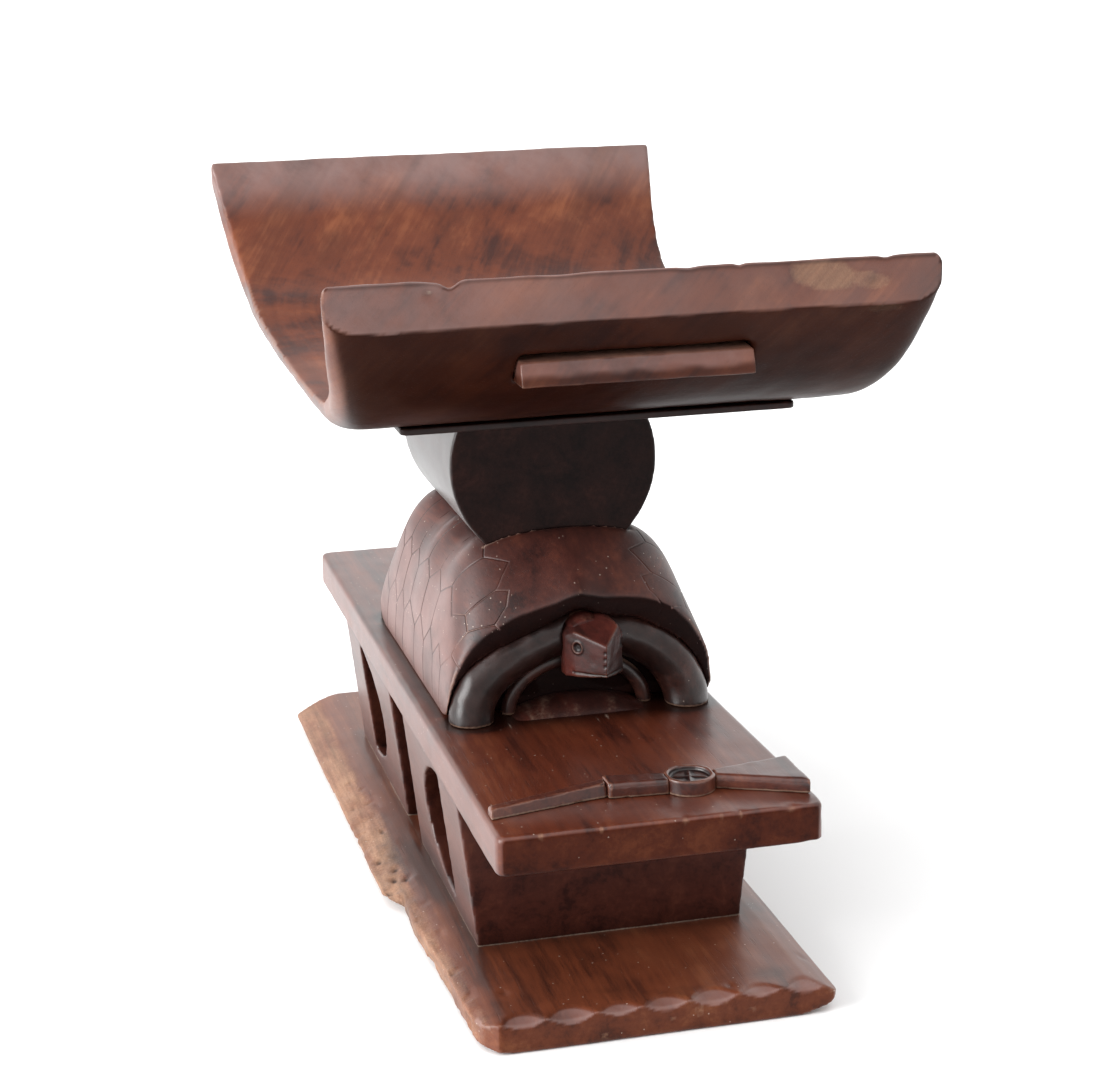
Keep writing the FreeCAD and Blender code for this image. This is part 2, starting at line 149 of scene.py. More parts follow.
def remesh(me, voxel):
    ob = bpy.data.objects.new("remesh_tmp", me)
    bpy.context.scene.collection.objects.link(ob)
    mod = ob.modifiers.new("remesh", "REMESH")
    mod.mode = "VOXEL"
    mod.voxel_size = voxel * MM
    mod.adaptivity = 0.0
    mod.use_smooth_shade = True
    deps = bpy.context.evaluated_depsgraph_get()
    out = bpy.data.meshes.new_from_object(ob.evaluated_get(deps))
    bpy.data.objects.remove(ob)
    bpy.data.meshes.remove(me)
    return out


def convexity(me, times=2):
    """Positive on outward edges, negative in inside corners, about 0 on flats, per mm."""
    co, e, n = coords(me), edges_of(me), normals(me)
    d = ((co - neighbour_mean(co, e, len(co))) * n).sum(1)
    length = np.linalg.norm(co[e[:, 0]] - co[e[:, 1]], axis=1).mean()
    return soften(d / length ** 2 * 2, me, times)


def paint(me, **layers):
    for name, values in layers.items():
        a = me.attributes.new(name, "FLOAT", "POINT")
        a.data.foreach_set("value", np.asarray(values, np.float32))


def finish_piece(me, name, nodes, material):
    me.name = name
    me.materials.clear()
    me.materials.append(material)
    me.polygons.foreach_set("use_smooth", np.ones(len(me.polygons), bool))
    me.polygons.foreach_set("material_index", np.zeros(len(me.polygons), np.int32))
    me.update()
    ob = bpy.data.objects.new(name, me)
    bpy.context.scene.collection.objects.link(ob)
    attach(ob, "root")
    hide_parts(*nodes)
    return ob


def carve(co, n, amount, coarse=26.0, fine=9.0, seed=0):
    """The slight waviness that an adze and scraper leave."""
    wave = 0.62 * fbm(co, (coarse, coarse * 1.5, coarse), 2, seed) + 0.38 * noise(co, (fine, fine * 1.6, fine), seed + 5)
    return co + n * (amount * wave)[:, None]


def wear_off(me, depth, size=7.0, seed=0, start=0.12):
    """Takes small flats and nicks off the sharp outward edges."""
    co, n = coords(me), normals(me)
    cx = convexity(me, 1)
    edge = sstep(start, start * 3, cx)
    bite = sstep(-0.1, 0.75, fbm(co, size, 2, seed)) * 0.8 + 0.2
    nick = sstep(0.45, 0.7, noise(co, size * 0.55, seed + 31))
    put(me, co - n * (edge * (depth * bite + depth * 1.6 * nick))[:, None])


def edge_layers(me, seed=0, spread=1):
    """First layer: rubbed outward edges. Second layer: painted shade in the inside corners."""
    co = coords(me)
    cx = convexity(me, 2)
    wear = np.clip(soften(sstep(0.05, 0.3, cx), me, spread), 0, 1)
    wear *= 0.55 + 0.45 * fbm(co, 12.0, 3, seed + 3)
    cav = np.clip(soften(sstep(0.03, 0.2, -cx), me, spread), 0, 1)
    return np.clip(wear * 1.3, 0, 1), cav


def facing_ends(n, lo=0.80, hi=0.95):
    """1 on the upright faces at the two ends."""
    return sstep(lo, hi, np.abs(n[:, 1]))


def calm_facets(me, times, limit=0.10, grow=3):
    """Smooths the flats and curves and leaves the sharp edges alone."""
    sharp = np.clip(np.abs(convexity(me, 1)) / limit - 1.0, 0, 1)
    for _ in range(grow):
        sharp = np.minimum(1.0, soften(sharp, me, 1) * 1.7)
    relax(me, times, 0.5, keep=1.0 - sharp)


def box_line(co, x, y, width):
    """1 on the outline of the rectangle of half sizes x, y, fading over width."""
    dx, dy = np.abs(co[:, 0]) - x, np.abs(co[:, 1]) - y
    outside = np.hypot(np.maximum(dx, 0), np.maximum(dy, 0)) + np.minimum(np.maximum(dx, dy), 0)
    return np.exp(-(outside / width) ** 2)


def segment_gap(co, n, lines):
    """Distance in the surface from each vertex to the nearest of the polylines."""
    best = np.full(len(co), 1e9)
    for line in lines:
        for a, b in zip(line, line[1:]):
            a, b = np.array(a, float), np.array(b, float)
            lo, hi = np.minimum(a, b) - 6, np.maximum(a, b) + 6
            near = np.where(((co > lo) & (co < hi)).all(1))[0]
            if not len(near):
                continue
            p, m = co[near], n[near]
            t = np.clip(((p - a) @ (b - a)) / ((b - a) @ (b - a)), 0, 1)
            d = p - (a + t[:, None] * (b - a))
            d -= m * (d * m).sum(1)[:, None]
            best[near] = np.minimum(best[near], np.linalg.norm(d, axis=1))
    return best


def refine(me, mask_of, rounds):
    """Splits the faces around the vertices that mask_of picks."""
    for _ in range(rounds):
        bm = bmesh.new()
        bm.from_mesh(me)
        bm.verts.ensure_lookup_table()
        pick = mask_of(me)
        edges = [e for e in bm.edges if pick[e.verts[0].index] or pick[e.verts[1].index]]
        bmesh.ops.subdivide_edges(bm, edges=edges, cuts=1, use_grid_fill=True)
        bm.to_mesh(me)
        bm.free()
    me.update()


# ================================================================= materials
def make_wood(name, deep, mid, light, rough=0.42, coat=0.12, bare=(0.42, 0.27, 0.16), grain=1.0,
              streak=(1.0, 0.05, 1.0), turn=(0, 0, 0), mottle=0.5, specks=0.0, dusty=(0.36, 0.28, 0.22),
              sheen=0.0, spec=0.5, relief=1.0):
    mat = bpy.data.materials.new(name)
    mat.use_nodes = True
    nt = mat.node_tree
    nt.nodes.clear()
    N, L = nt.nodes, nt.links

    def node(kind, **inputs):
        nd = N.new(kind)
        for k, v in inputs.items():
            nd.inputs[k.replace("_", " ")].default_value = v
        return nd

    def math_(op, a, b=None, c=None, clamp=False):
        nd = N.new("ShaderNodeMath")
        nd.operation = op
        nd.use_clamp = clamp
        for k, v in enumerate((a, b, c)):
            if v is None:
                continue
            if isinstance(v, (int, float)):
                nd.inputs[k].default_value = v
            else:
                L.new(v, nd.inputs[k])
        return nd.outputs[0]

    def span(v, a, b, c=0.0, d=1.0, kind="SMOOTHSTEP"):
        nd = N.new("ShaderNodeMapRange")
        nd.interpolation_type = kind
        for k, x in zip(("From Min", "From Max", "To Min", "To Max"), (a, b, c, d)):
            nd.inputs[k].default_value = x
        L.new(v, nd.inputs["Value"])
        return nd.outputs["Result"]

    def mix(fac, a, b, kind="MIX"):
        nd = N.new("ShaderNodeMix")
        nd.data_type = "RGBA"
        nd.blend_type = kind
        nd.clamp_factor = True
        if isinstance(fac, (int, float)):
            nd.inputs[0].default_value = fac
        else:
            L.new(fac, nd.inputs[0])
        for k, v in ((6, a), (7, b)):
            if isinstance(v, tuple):
                nd.inputs[k].default_value = (*v, 1.0)
            else:
                L.new(v, nd.inputs[k])
        return nd.outputs[2]

    def layer(nm):
        nd = N.new("ShaderNodeAttribute")
        nd.attribute_name = nm
        return nd.outputs["Fac"]

    coord = N.new("ShaderNodeTexCoord").outputs["Object"]

    def mapped(scale, rot=turn, loc=(0, 0, 0)):
        nd = N.new("ShaderNodeMapping")
        nd.vector_type = "TEXTURE"
        nd.inputs["Scale"].default_value = tuple(1.0 / v for v in scale)
        nd.inputs["Rotation"].default_value = rot
        nd.inputs["Location"].default_value = loc
        L.new(coord, nd.inputs["Vector"])
        return nd.outputs["Vector"]

    def tex(vec, scale, detail=3.0, rough_=0.55, distortion=0.0):
        nd = node("ShaderNodeTexNoise", Scale=scale, Detail=detail, Roughness=rough_, Distortion=distortion)
        L.new(vec, nd.inputs["Vector"])
        return nd.outputs["Fac"]

    along = mapped(streak)
    broad = tex(along, 55.0, 4.0, 0.6, 0.6)
    fibres = tex(along, 330.0, 4.0, 0.65, 0.2)
    pores = tex(mapped((1.0, 0.035, 1.0)), 1500.0, 2.0, 0.5)
    blotch = tex(mapped((1, 0.7, 1), (0, 0, 0)), 17.0, 4.0, 0.62, 0.3)
    patch = tex(mapped((1, 0.6, 1), (0.3, 0.2, 0.5), (3, 1, 2)), 42.0, 5.0, 0.65, 0.2)
    fine = tex(mapped((1, 1, 1), (0, 0, 0)), 700.0, 3.0, 0.6)

    tone = math_("MULTIPLY_ADD", span(broad, 0.3, 0.7), 0.55 * grain, math_("MULTIPLY", span(fibres, 0.3, 0.72), 0.3 * grain))
    tone = math_("ADD", tone, math_("MULTIPLY", span(blotch, 0.32, 0.68), mottle))
    tone = math_("DIVIDE", tone, 0.85 * grain + mottle)
    colour = mix(span(tone, 0.12, 0.55), deep, mid)
    colour = mix(span(tone, 0.5, 0.98), colour, light)
    colour = mix(math_("MULTIPLY", span(patch, 0.54, 0.80), 0.32), colour, deep)
    # pores: short dark dashes along the grain
    colour = mix(math_("MULTIPLY", span(pores, 0.62, 0.75), 0.4), colour, tuple(c * 0.35 for c in deep))

    wear, cav, dust, dark, bared = layer("wear"), layer("cav"), layer("dust"), layer("dark"), layer("bare")
    matt, bloom = layer("matt"), layer("bloom")
    ragged = math_("ADD", math_("MULTIPLY", fine, 0.5), math_("MULTIPLY", patch, 0.5))
    # lighter on rubbed outward edges, which is real wear, and on faces where a piece adds painted sheen to this layer:
    # the seat's end faces, the lug tops and the head's crown
    worn = span(math_("ADD", wear, math_("MULTIPLY", math_("SUBTRACT", ragged, 0.5), 0.9)), 0.28, 0.85)
    colour = mix(math_("MULTIPLY", worn, 0.5), colour, tuple(0.5 * a + 0.5 * b for a, b in zip(light, bare)))
    bared_ = span(math_("ADD", bared, math_("MULTIPLY", math_("SUBTRACT", ragged, 0.5), 1.0)), 0.15, 0.95)
    raw = mix(span(fibres, 0.35, 0.7), tuple(c * 0.72 for c in bare), bare)
    colour = mix(bared_, colour, raw)
    # mostly painted sheen: a pale pinkish colour on faces turned to the left light, the seat's end faces and inner top,
    # the lug tops and the base's gouge facets, standing in for their glossy reflection; in front of the musket it is
    # real pale powder haze
    haze = math_("MULTIPLY", bloom, math_("MULTIPLY_ADD", span(patch, 0.3, 0.7), 0.5, 0.5), clamp=True)
    colour = mix(haze, colour, (0.205, 0.118, 0.106))
    # painted shade: the inside-corner and dark layers pull the colour toward a deep brown in creases, recesses,
    # undersides and faces turned from the light; the dark layer also carries real stains and knots
    shade = math_("MULTIPLY", span(math_("ADD", cav, dark), 0.0, 1.0, kind="LINEAR"), 0.92)
    colour = mix(shade, colour, tuple(c * 0.22 for c in deep))
    dusted = span(math_("ADD", dust, math_("MULTIPLY", math_("SUBTRACT", ragged, 0.5), 0.7)), 0.35, 0.8)
    colour = mix(math_("MULTIPLY", dusted, 0.75), colour, dusty)
    if specks:
        vor = node("ShaderNodeTexVoronoi", Scale=270.0)
        L.new(mapped((1, 1, 1), (0, 0, 0)), vor.inputs["Vector"])
        dot = math_("LESS_THAN", vor.outputs["Distance"], 0.105)
        sep = N.new("ShaderNodeSeparateColor")
        L.new(vor.outputs["Color"], sep.inputs["Color"])
        chosen = math_("GREATER_THAN", sep.outputs[0], 1.0 - specks)
        near = math_("GREATER_THAN", patch, 0.47)
        dot = math_("MULTIPLY", math_("MULTIPLY", dot, chosen), near)
        dot = math_("MULTIPLY", dot, math_("SUBTRACT", 1.0, shade))
        colour = mix(math_("MULTIPLY", dot, 0.7), colour, (0.45, 0.36, 0.3))

    r = math_("ADD", rough - 0.1, math_("MULTIPLY", blotch, 0.16))
    r = math_("ADD", r, math_("MULTIPLY", fine, 0.06))
    r = math_("SUBTRACT", r, math_("MULTIPLY", worn, 0.04))
    r = math_("ADD", r, math_("MULTIPLY", bared_, 0.25))
    r = math_("ADD", r, math_("MULTIPLY", dusted, 0.25), clamp=True)

    h = math_("MULTIPLY", fibres, 0.35)
    h = math_("SUBTRACT", h, math_("MULTIPLY", span(pores, 0.6, 0.76), 0.35))
    h = math_("ADD", h, math_("MULTIPLY", fine, 0.3))
    h = math_("ADD", h, math_("MULTIPLY", math_("MULTIPLY", bared_, fine), 1.5))
    bump = node("ShaderNodeBump", Strength=0.55, Distance=0.00032 * relief)
    L.new(h, bump.inputs["Height"])

    bsdf = N.new("ShaderNodeBsdfPrincipled")
    L.new(math_("MULTIPLY", math_("MULTIPLY_ADD", matt, -0.9, 1.0, clamp=True), spec), bsdf.inputs["Specular IOR Level"])
    L.new(math_("MULTIPLY", math_("SUBTRACT", 1.0, matt, clamp=True), coat), bsdf.inputs["Coat Weight"])
    bsdf.inputs["Coat Roughness"].default_value = 0.22
    bsdf.inputs["Sheen Weight"].default_value = sheen
    bsdf.inputs["Sheen Roughness"].default_value = 0.5
    bsdf.inputs["Sheen Tint"].default_value = (1.0, 0.88, 0.82, 1.0)
    L.new(colour, bsdf.inputs["Base Color"])
    L.new(r, bsdf.inputs["Roughness"])
    L.new(bump.outputs["Normal"], bsdf.inputs["Normal"])
    out = N.new("ShaderNodeOutputMaterial")
    L.new(bsdf.outputs["BSDF"], out.inputs["Surface"])
    return mat


SEAT = make_wood("seat_mahogany", (0.038, 0.0090, 0.0055), (0.112, 0.0260, 0.0100), (0.20, 0.060, 0.024), rough=0.36,
                 coat=0.18, bare=(0.27, 0.135, 0.075), mottle=0.6, streak=(1.0, 0.07, 0.10), turn=(0.0, 0.75, 0.0),
                 grain=0.55, spec=0.42)
LEDGE = make_wood("drum_black_brown", (0.006, 0.0026, 0.0024), (0.013, 0.0050, 0.0042), (0.026, 0.0090, 0.007), rough=0.40,
                  coat=0.35, bare=(0.12, 0.07, 0.05), mottle=0.5)
DECK = make_wood("deck_mahogany", (0.032, 0.0065, 0.0036), (0.090, 0.0185, 0.0075), (0.155, 0.040, 0.0155), rough=0.36,
                 coat=0.2, bare=(0.24, 0.11, 0.065), mottle=0.5, specks=0.28, spec=0.45,
                 dusty=(0.27, 0.20, 0.16))
PIER = make_wood("pier_mahogany", (0.024, 0.0060, 0.0044), (0.056, 0.0140, 0.0088), (0.090, 0.025, 0.0145), rough=0.40,
                 coat=0.2, bare=(0.22, 0.11, 0.07), mottle=0.35)
BASE = make_wood("plank_mahogany", (0.045, 0.0110, 0.0052), (0.120, 0.0290, 0.0110), (0.19, 0.058, 0.023), rough=0.42,
                 coat=0.14, bare=(0.42, 0.245, 0.155), mottle=0.5, specks=0.35, spec=0.45,
                 dusty=(0.27, 0.22, 0.19))
SHELL = make_wood("carapace_mahogany", (0.018, 0.0052, 0.0045), (0.058, 0.0150, 0.0105), (0.115, 0.031, 0.0180), rough=0.45,
                  coat=0.08, bare=(0.32, 0.17, 0.11), mottle=0.55, specks=0.65, dusty=(0.27, 0.17, 0.13))
BEAST = make_wood("tortoise_blackened", (0.008, 0.0034, 0.0030), (0.021, 0.0078, 0.0062), (0.060, 0.018, 0.012), rough=0.33,
                  coat=0.3, bare=(0.15, 0.07, 0.05), mottle=0.7, specks=0.2, dusty=(0.19, 0.11, 0.075), spec=0.45)
HEAD = make_wood("head_blackened", (0.018, 0.0055, 0.0045), (0.055, 0.0120, 0.0090), (0.13, 0.027, 0.016), rough=0.38,
                 coat=0.15, bare=(0.20, 0.09, 0.06), mottle=0.7, dusty=(0.20, 0.125, 0.09), spec=0.35)
RELIEF = make_wood("relief_mahogany", (0.020, 0.0050, 0.0038), (0.064, 0.0150, 0.0085), (0.13, 0.036, 0.018), rough=0.35,
                   coat=0.25, bare=(0.24, 0.11, 0.07), mottle=0.6, dusty=(0.26, 0.18, 0.13))


# ===================================================================== pieces
def simple(name, material, voxel, wave=0.25, smooth=4, seed=0, edit=None, after=None, layers=None,
           wear_depth=0.3, coarse=26.0, fine=9.0, nodes=None, wear_start=0.12):
    me = node_mesh(*(nodes or [name]))
    if edit:
        co = coords(me)
        put(me, edit(co))
    me = remesh(me, voxel)
    relax(me, smooth)
    wear_off(me, wear_depth, seed=seed, start=wear_start)
    co, n = coords(me), normals(me)
    co = carve(co, n, wave, coarse, fine, seed)
    put(me, co)
    if after:
        put(me, after(coords(me), normals(me), me))
    relax(me, 1, 0.3)
    wear, cav = edge_layers(me, seed)
    co, n = coords(me), normals(me)
    zero = np.zeros(len(co))
    data = {"wear": wear, "cav": cav, "dust": zero, "dark": zero, "bare": zero, "matt": zero, "bloom": zero}
    if layers:
        data.update(layers(co, n, data))
    paint(me, **data)
    return finish_piece(me, name + "_carved", nodes or [name], material)


# ---- base plank
def base_edit(co):
    return co


def base_after(co, n, me):
    # the gouge cuts are shallow: half of the bite is given back
    top = np.interp(co[:, 0], [-106.0, -98.0, -88.0, -76.0, 80.0, 88.0, 95.0], [8.6, 12.0, 15.0, 17.0, 17.0, 14.6, 10.2])
    cut = np.minimum((top - co[:, 2]) / 0.894, (co[:, 1] + 262.0) / 0.447)
    cut = np.where((co[:, 1] < -246) & (co[:, 2] > 4.5) & (n[:, 2] > 0.12), np.clip(cut, 0, 6), 0.0)
    co[:, 1] -= 0.447 * 0.36 * cut
    co[:, 2] += 0.894 * 0.36 * cut
    # ragged bare edge on the left, behind and in front of the break
    left = sstep(-82.0, -94.0, co[:, 0])
    rag = fbm(co, (9.0, 14.0, 9.0), 3, 91)
    pit = sstep(0.35, 0.75, noise(co, (5.0, 8.0, 5.0), 92))
    near = left * sstep(150.0, 20.0, co[:, 1])
    co = co - n * (near * (0.9 * (rag + 0.4) + 1.1 * pit))[:, None]
    # the chip where the edge broke
    chip = bump_at(co[:, 0], -101.0, 5.5) * bump_at(co[:, 1], -74.0, 6.0) * sstep(0.0, 10.0, co[:, 2])
    co = co - n * (2.2 * chip)[:, None]
    for x, y, w, d in ((-93, -48, 2.2, 1.6), (-96, -60, 2.5, 2.0), (-90, -66, 1.8, 1.2), (-99, -30, 2.0, 1.4),
                       (88, -226, 2.4, 0.9), (-71, -228, 2.0, 0.7), (40, -252, 2.0, 0.6)):
        hole = bump_at(co[:, 0], x, w) * bump_at(co[:, 1], y, w * 1.7) * (n[:, 2] > 0.3)
        co = co - n * (d * hole)[:, None]
    co[:, 2] = np.maximum(co[:, 2], 0.0)
    return co


def base_layers(co, n, d):
    up = sstep(0.3, 0.8, n[:, 2])
    foot = box_line(co, 72.0, 172.5, 0.9) * up
    shadow = box_line(co, 74.0, 174.0, 9.0) * up
    edge = 6 * fbm(co, (12.0, 40.0, 12.0), 3, 4)
    left = sstep(-66.0, -98.0, co[:, 0] + edge) * (0.35 + 0.65 * sstep(-84.0, -92.0, co[:, 0] + 0.5 * edge))
    right = sstep(88.0, 95.0, co[:, 0])
    bare = 0.70 * left + 0.15 * right
    bare = bare * (0.8 + 0.35 * fbm(co, (8.0, 26.0, 8.0), 3, 8))
    top = np.interp(co[:, 0], [-106.0, -98.0, -88.0, -76.0, 80.0, 88.0, 95.0], [8.6, 12.0, 15.0, 17.0, 17.0, 14.6, 10.2])
    cut = np.minimum((top - co[:, 2]) / 0.894, (co[:, 1] + 262.0) / 0.447)
    cut = np.where((co[:, 1] < -246) & (co[:, 2] > 4.5) & (n[:, 2] > 0.12), sstep(0.7, 1.2, cut), 0.0)
    knot = np.exp(-(((co[:, 0] - 64) / 9.5) ** 2 + ((co[:, 1] + 244) / 8.0) ** 2) ** 1.4) * up
    stain = 0.6 * np.exp(-(((co[:, 0] + 91) / 5) ** 2 + ((co[:, 1] + 33) / 9) ** 2)) * up
    # painted shade: the upright end faces are darker and matt
    front = facing_ends(n, 0.85, 0.95) * (np.abs(co[:, 1]) > 250)
    # darker in patches on the top towards the front end
    soot = 0.35 * sstep(0.1, 0.7, fbm(co, (20.0, 10.0, 14.0), 3, 19)) * up * sstep(-225, -250, co[:, 1])
    dark = 0.6 * knot + stain + 0.45 * shadow + 0.30 * front + soot
    # the gouge facets are painted lighter: bare wood colour and a pale sheen, a painted highlight where they catch the
    # light
    worn = cut * (0.12 + 0.2 * fbm(co, 12.0, 2, 21))
    fleck = sstep(0.55, 0.75, noise(co, (7.0, 7.0, 4.0), 23)) * front
    foot = foot * (0.62 + 0.38 * fbm(co, (14.0, 14.0, 14.0), 3, 24))
    return {"dust": np.clip(foot * 0.85, 0, 1), "bare": np.clip(bare + worn + 0.35 * fleck, 0, 1),
            "dark": np.clip(dark * (1 - cut), 0, 1), "matt": np.clip(0.75 * front * (1 - cut) + 0.5 * left, 0, 1),
            "bloom": 0.75 * cut, "wear": np.clip(d["wear"] * (1 - cut), 0, 1)}


simple("base_plate", BASE, 1.3, wave=0.3, smooth=1, seed=11, edit=base_edit, after=base_after,
       layers=base_layers, wear_depth=0.35, coarse=34.0)


# ---- piers: flush with the deck's sides
def pier_edit(co):
    t = np.clip((co[:, 2] - 17.0) / 79.3, 0, 1)
    hw = 72.0 + 7.6 * t
    flare = (72.0 + 9.3 * t) / hw
    side = np.abs(co[:, 0]) > 0.97 * hw
    co[side, 0] *= flare[side]
    co[co[:, 2] > 96.2, 2] += 3.0
    co[co[:, 2] < 17.1, 2] -= 1.2
    return co


def pier_layers(co, n, d):
    low = np.exp(-((co[:, 2] - 17.0) / 1.3) ** 2)
    end = np.abs(n[:, 1]) > 0.7
    inside = (np.abs(n[:, 0]) < 0.5) & (np.abs(co[:, 1]) < 135)
    # painted shade: darker on the inner faces, on the end faces, at the foot and near the top under the deck
    dark = 0.28 * inside + 0.18 * end + 0.3 * np.exp(-((co[:, 2] - 17.0) / 7.0) ** 2)
    dark = dark + 0.25 * sstep(80.0, 96.0, co[:, 2]) * end
    # painted sheen on the left-facing faces
    return {"dust": low * 0.7, "dark": np.clip(dark, 0, 1), "matt": np.clip(0.9 * end + 0.8 * inside, 0, 1),
            "bloom": 0.22 * sstep(-0.8, -0.95, n[:, 0])}


for nm, sd in (("front_pier", 21), ("rear_pier", 22)):
    simple(nm, PIER, 1.2, wave=0.2, smooth=2, seed=sd, edit=pier_edit, layers=pier_layers, wear_depth=0.08)


# ---- deck
def deck_after(co, n, me):
    # chips along the front edge
    for x, w, d in ((-60, 3, .5), (12, 2.5, .7), (40, 3, .8), (66, 4, 1.2), (-30, 4, .4)):
        edge = bump_at(co[:, 1], -269, 3.5) * bump_at(co[:, 2], 116, 4) * bump_at(co[:, 0], x, w)
        co = co - n * (d * edge)[:, None]
    corner = bump_at(co[:, 0], 83, 9) * bump_at(co[:, 1], -269, 9)
    co = co - n * (1.3 * corner * (0.6 + 0.4 * noise(co, 5, 3)))[:, None]
    return co


def deck_layers(co, n, d):
    up = sstep(0.3, 0.8, n[:, 2])
    dx, dy = (co[:, 0] - 3.7), np.abs(co[:, 1])
    foot = (np.exp(-((np.abs(dx) - 74.9) / 0.9) ** 2) * (dy < 86)) * up
    lee = -co[:, 1] - 0.10 * co[:, 0]
    # the band in front of the musket holds real powder dust and haze, and a little painted shade beside the gun
    gun = sstep(236, 246, lee) * sstep(268, 250, lee) * sstep(-80, -66, co[:, 0]) * sstep(78, 60, co[:, 0]) * up
    powder = gun * (0.75 + 0.45 * fbm(co, 7.0, 3, 77))
    # painted shade on the undersides
    under = sstep(-0.3, -0.8, n[:, 2])
    shade = np.exp(-((np.abs(dx) - 76) / 3.2) ** 2) * (dy < 90) * up * 0.95
    # painted shade on the deck under the front of the tortoise, in the hollow below the shell
    pocket = np.exp(-((co[:, 1] + 106) / 19) ** 2) * sstep(74, 50, np.abs(dx)) * up * 1.05
    scrape = sstep(0.35, 0.7, noise(co, (3.0, 16.0, 5.0), 78)) * np.exp(-((co[:, 1] + 116) / 9) ** 2) * (np.abs(dx) < 45) * up
    # painted shade on the upright end faces, which are also matt
    ends = facing_ends(n) * (dy > 255)
    rough_top = 0.22 * sstep(0.0, 0.8, fbm(co, (16.0, 45.0, 16.0), 3, 79)) * up
    bare = 0.25 * (co[:, 0] < -76) * sstep(-60, 200, co[:, 1]) * (0.5 + 0.5 * fbm(co, 25.0, 2, 9))
    feet = np.minimum(np.hypot(co[:, 0] + 57.5, dy - 103), np.hypot(co[:, 0] - 64, dy - 103))
    shade = np.maximum(shade, 1.1 * sstep(22.0, 13.0, feet) * up)
    foot = foot * (0.55 + 0.45 * fbm(co, 10.0, 2, 80))
    # painted sheen on the left-facing side
    side = sstep(-0.8, -0.95, n[:, 0])
    chips = np.zeros(len(co))
    for x, w in ((-60, 1.6), (12, 2.0), (40, 1.3), (66, 2.6), (30, 1.0), (-30, 1.2)):
        chips = np.maximum(chips, np.exp(-((co[:, 0] - x) / w) ** 2 - ((co[:, 1] + 269) / 2.2) ** 2 - ((co[:, 2] - 115.5) / 2.5) ** 2))
    bare = bare + 0.9 * chips
    return {"bloom": np.clip(0.42 * side + 0.36 * powder, 0, 1), "wear": 0.55 * d["wear"],
            "dust": np.clip(foot * 0.7 + 0.30 * powder + 0.6 * scrape, 0, 1),
            "dark": np.clip(0.6 * under + shade + pocket + 0.58 * ends + rough_top + 0.15 * gun, 0, 1),
            "bare": np.clip(bare, 0, 1), "matt": np.clip(0.95 * ends + under + 0.7 * pocket, 0, 1)}


simple("deck_plate", DECK, 1.2, wave=0.3, smooth=1, seed=31, after=deck_after, layers=deck_layers,
       wear_depth=0.3, coarse=30.0)


# ---- tortoise
XC = 3.7
ROW1 = [(-78, 170), (-66.8, 183.2), (-47, 175), (-27, 183), (-14, 174.3), (-3, 182.4), (17, 173), (29, 181),
        (38, 174), (48, 182.6), (57, 174), (67, 182.5), (78, 171)]
ROW2 = [(-92.6, 152.2), (-77.5, 141), (-67.7, 151.4), (-56.3, 141.6), (-42.3, 153.2), (-29.8, 141.8), (-13.6, 153.1),
        (-3.5, 143), (17.8, 152.6), (29, 142.5), (40, 153), (51, 142), (62, 153), (76, 141.5), (91, 152)]
RISERS = [((-47, 175), (-42.3, 153.2)), ((-14, 174.3), (-13.6, 153.1)), ((17, 173), (17.8, 152.6)),
          ((38, 174), (40, 153)), ((57, 174), (62, 153)),
          ((-27, 183), (-26, 207)), ((-3, 182.4), (-7.5, 207)), ((29, 181), (31, 207)), ((48, 182.6), (46, 207)),
          ((67, 182.5), (66, 207)), ((-77.5, 141), (-79, 117)), ((-56.3, 141.6), (-62, 117)),
          ((-29.8, 141.8), (-37, 117)), ((-3.5, 143), (-8, 117)), ((29, 142.5), (27, 117)), ((51, 142), (50, 117)),
          ((76, 141.5), (77, 117))]
FRONT = [[(-39.6, -66, 205.5), (-42.4, -74.5, 200.2), (-30.2, -82.7, 198.7), (-38.9, -91.2, 187.1), (-40.2, -91.6, 185.9)],
         [(-42.4, -74.5, 200.2), (-51, -71, 192.5), (-58.6, -66.8, 183.7), (-61.3, -78.2, 170.4), (-56.6, -89.3, 173.2),
          (-40.2, -91.6, 185.9), (-33.3, -94.6, 186.1), (-35.9, -99.5, 178.7), (-43.1, -102.6, 170.0),
          (-57.0, -96.3, 165.6), (-56.6, -89.3, 173.2)],
         [(-57.0, -96.3, 165.6), (-65.3, -91.9, 152.1), (-63.4, -102.9, 147.5)],
         [(-43.1, -102.6, 170.0), (-41.2, -104.9, 167.9)]]

SIDE_Z = [116.5, 135.0, 156.0, 175.5, 192.0, 202.2, 208.4]
SIDE_X = [74.3, 73.3, 70.0, 65.0, 58.0, 49.0, 37.0]


def on_flank(points, side):
    out = []
    for (y0, z0), (y1, z1) in zip(points, points[1:]):
        for k in range(4):
            t = k / 4
            y, z = y0 + (y1 - y0) * t, z0 + (z1 - z0) * t
            out.append((XC + side * float(np.interp(z, SIDE_Z, SIDE_X)), y, z))
    y, z = points[-1]
    out.append((XC + side * float(np.interp(z, SIDE_Z, SIDE_X)), y, z))
    return out


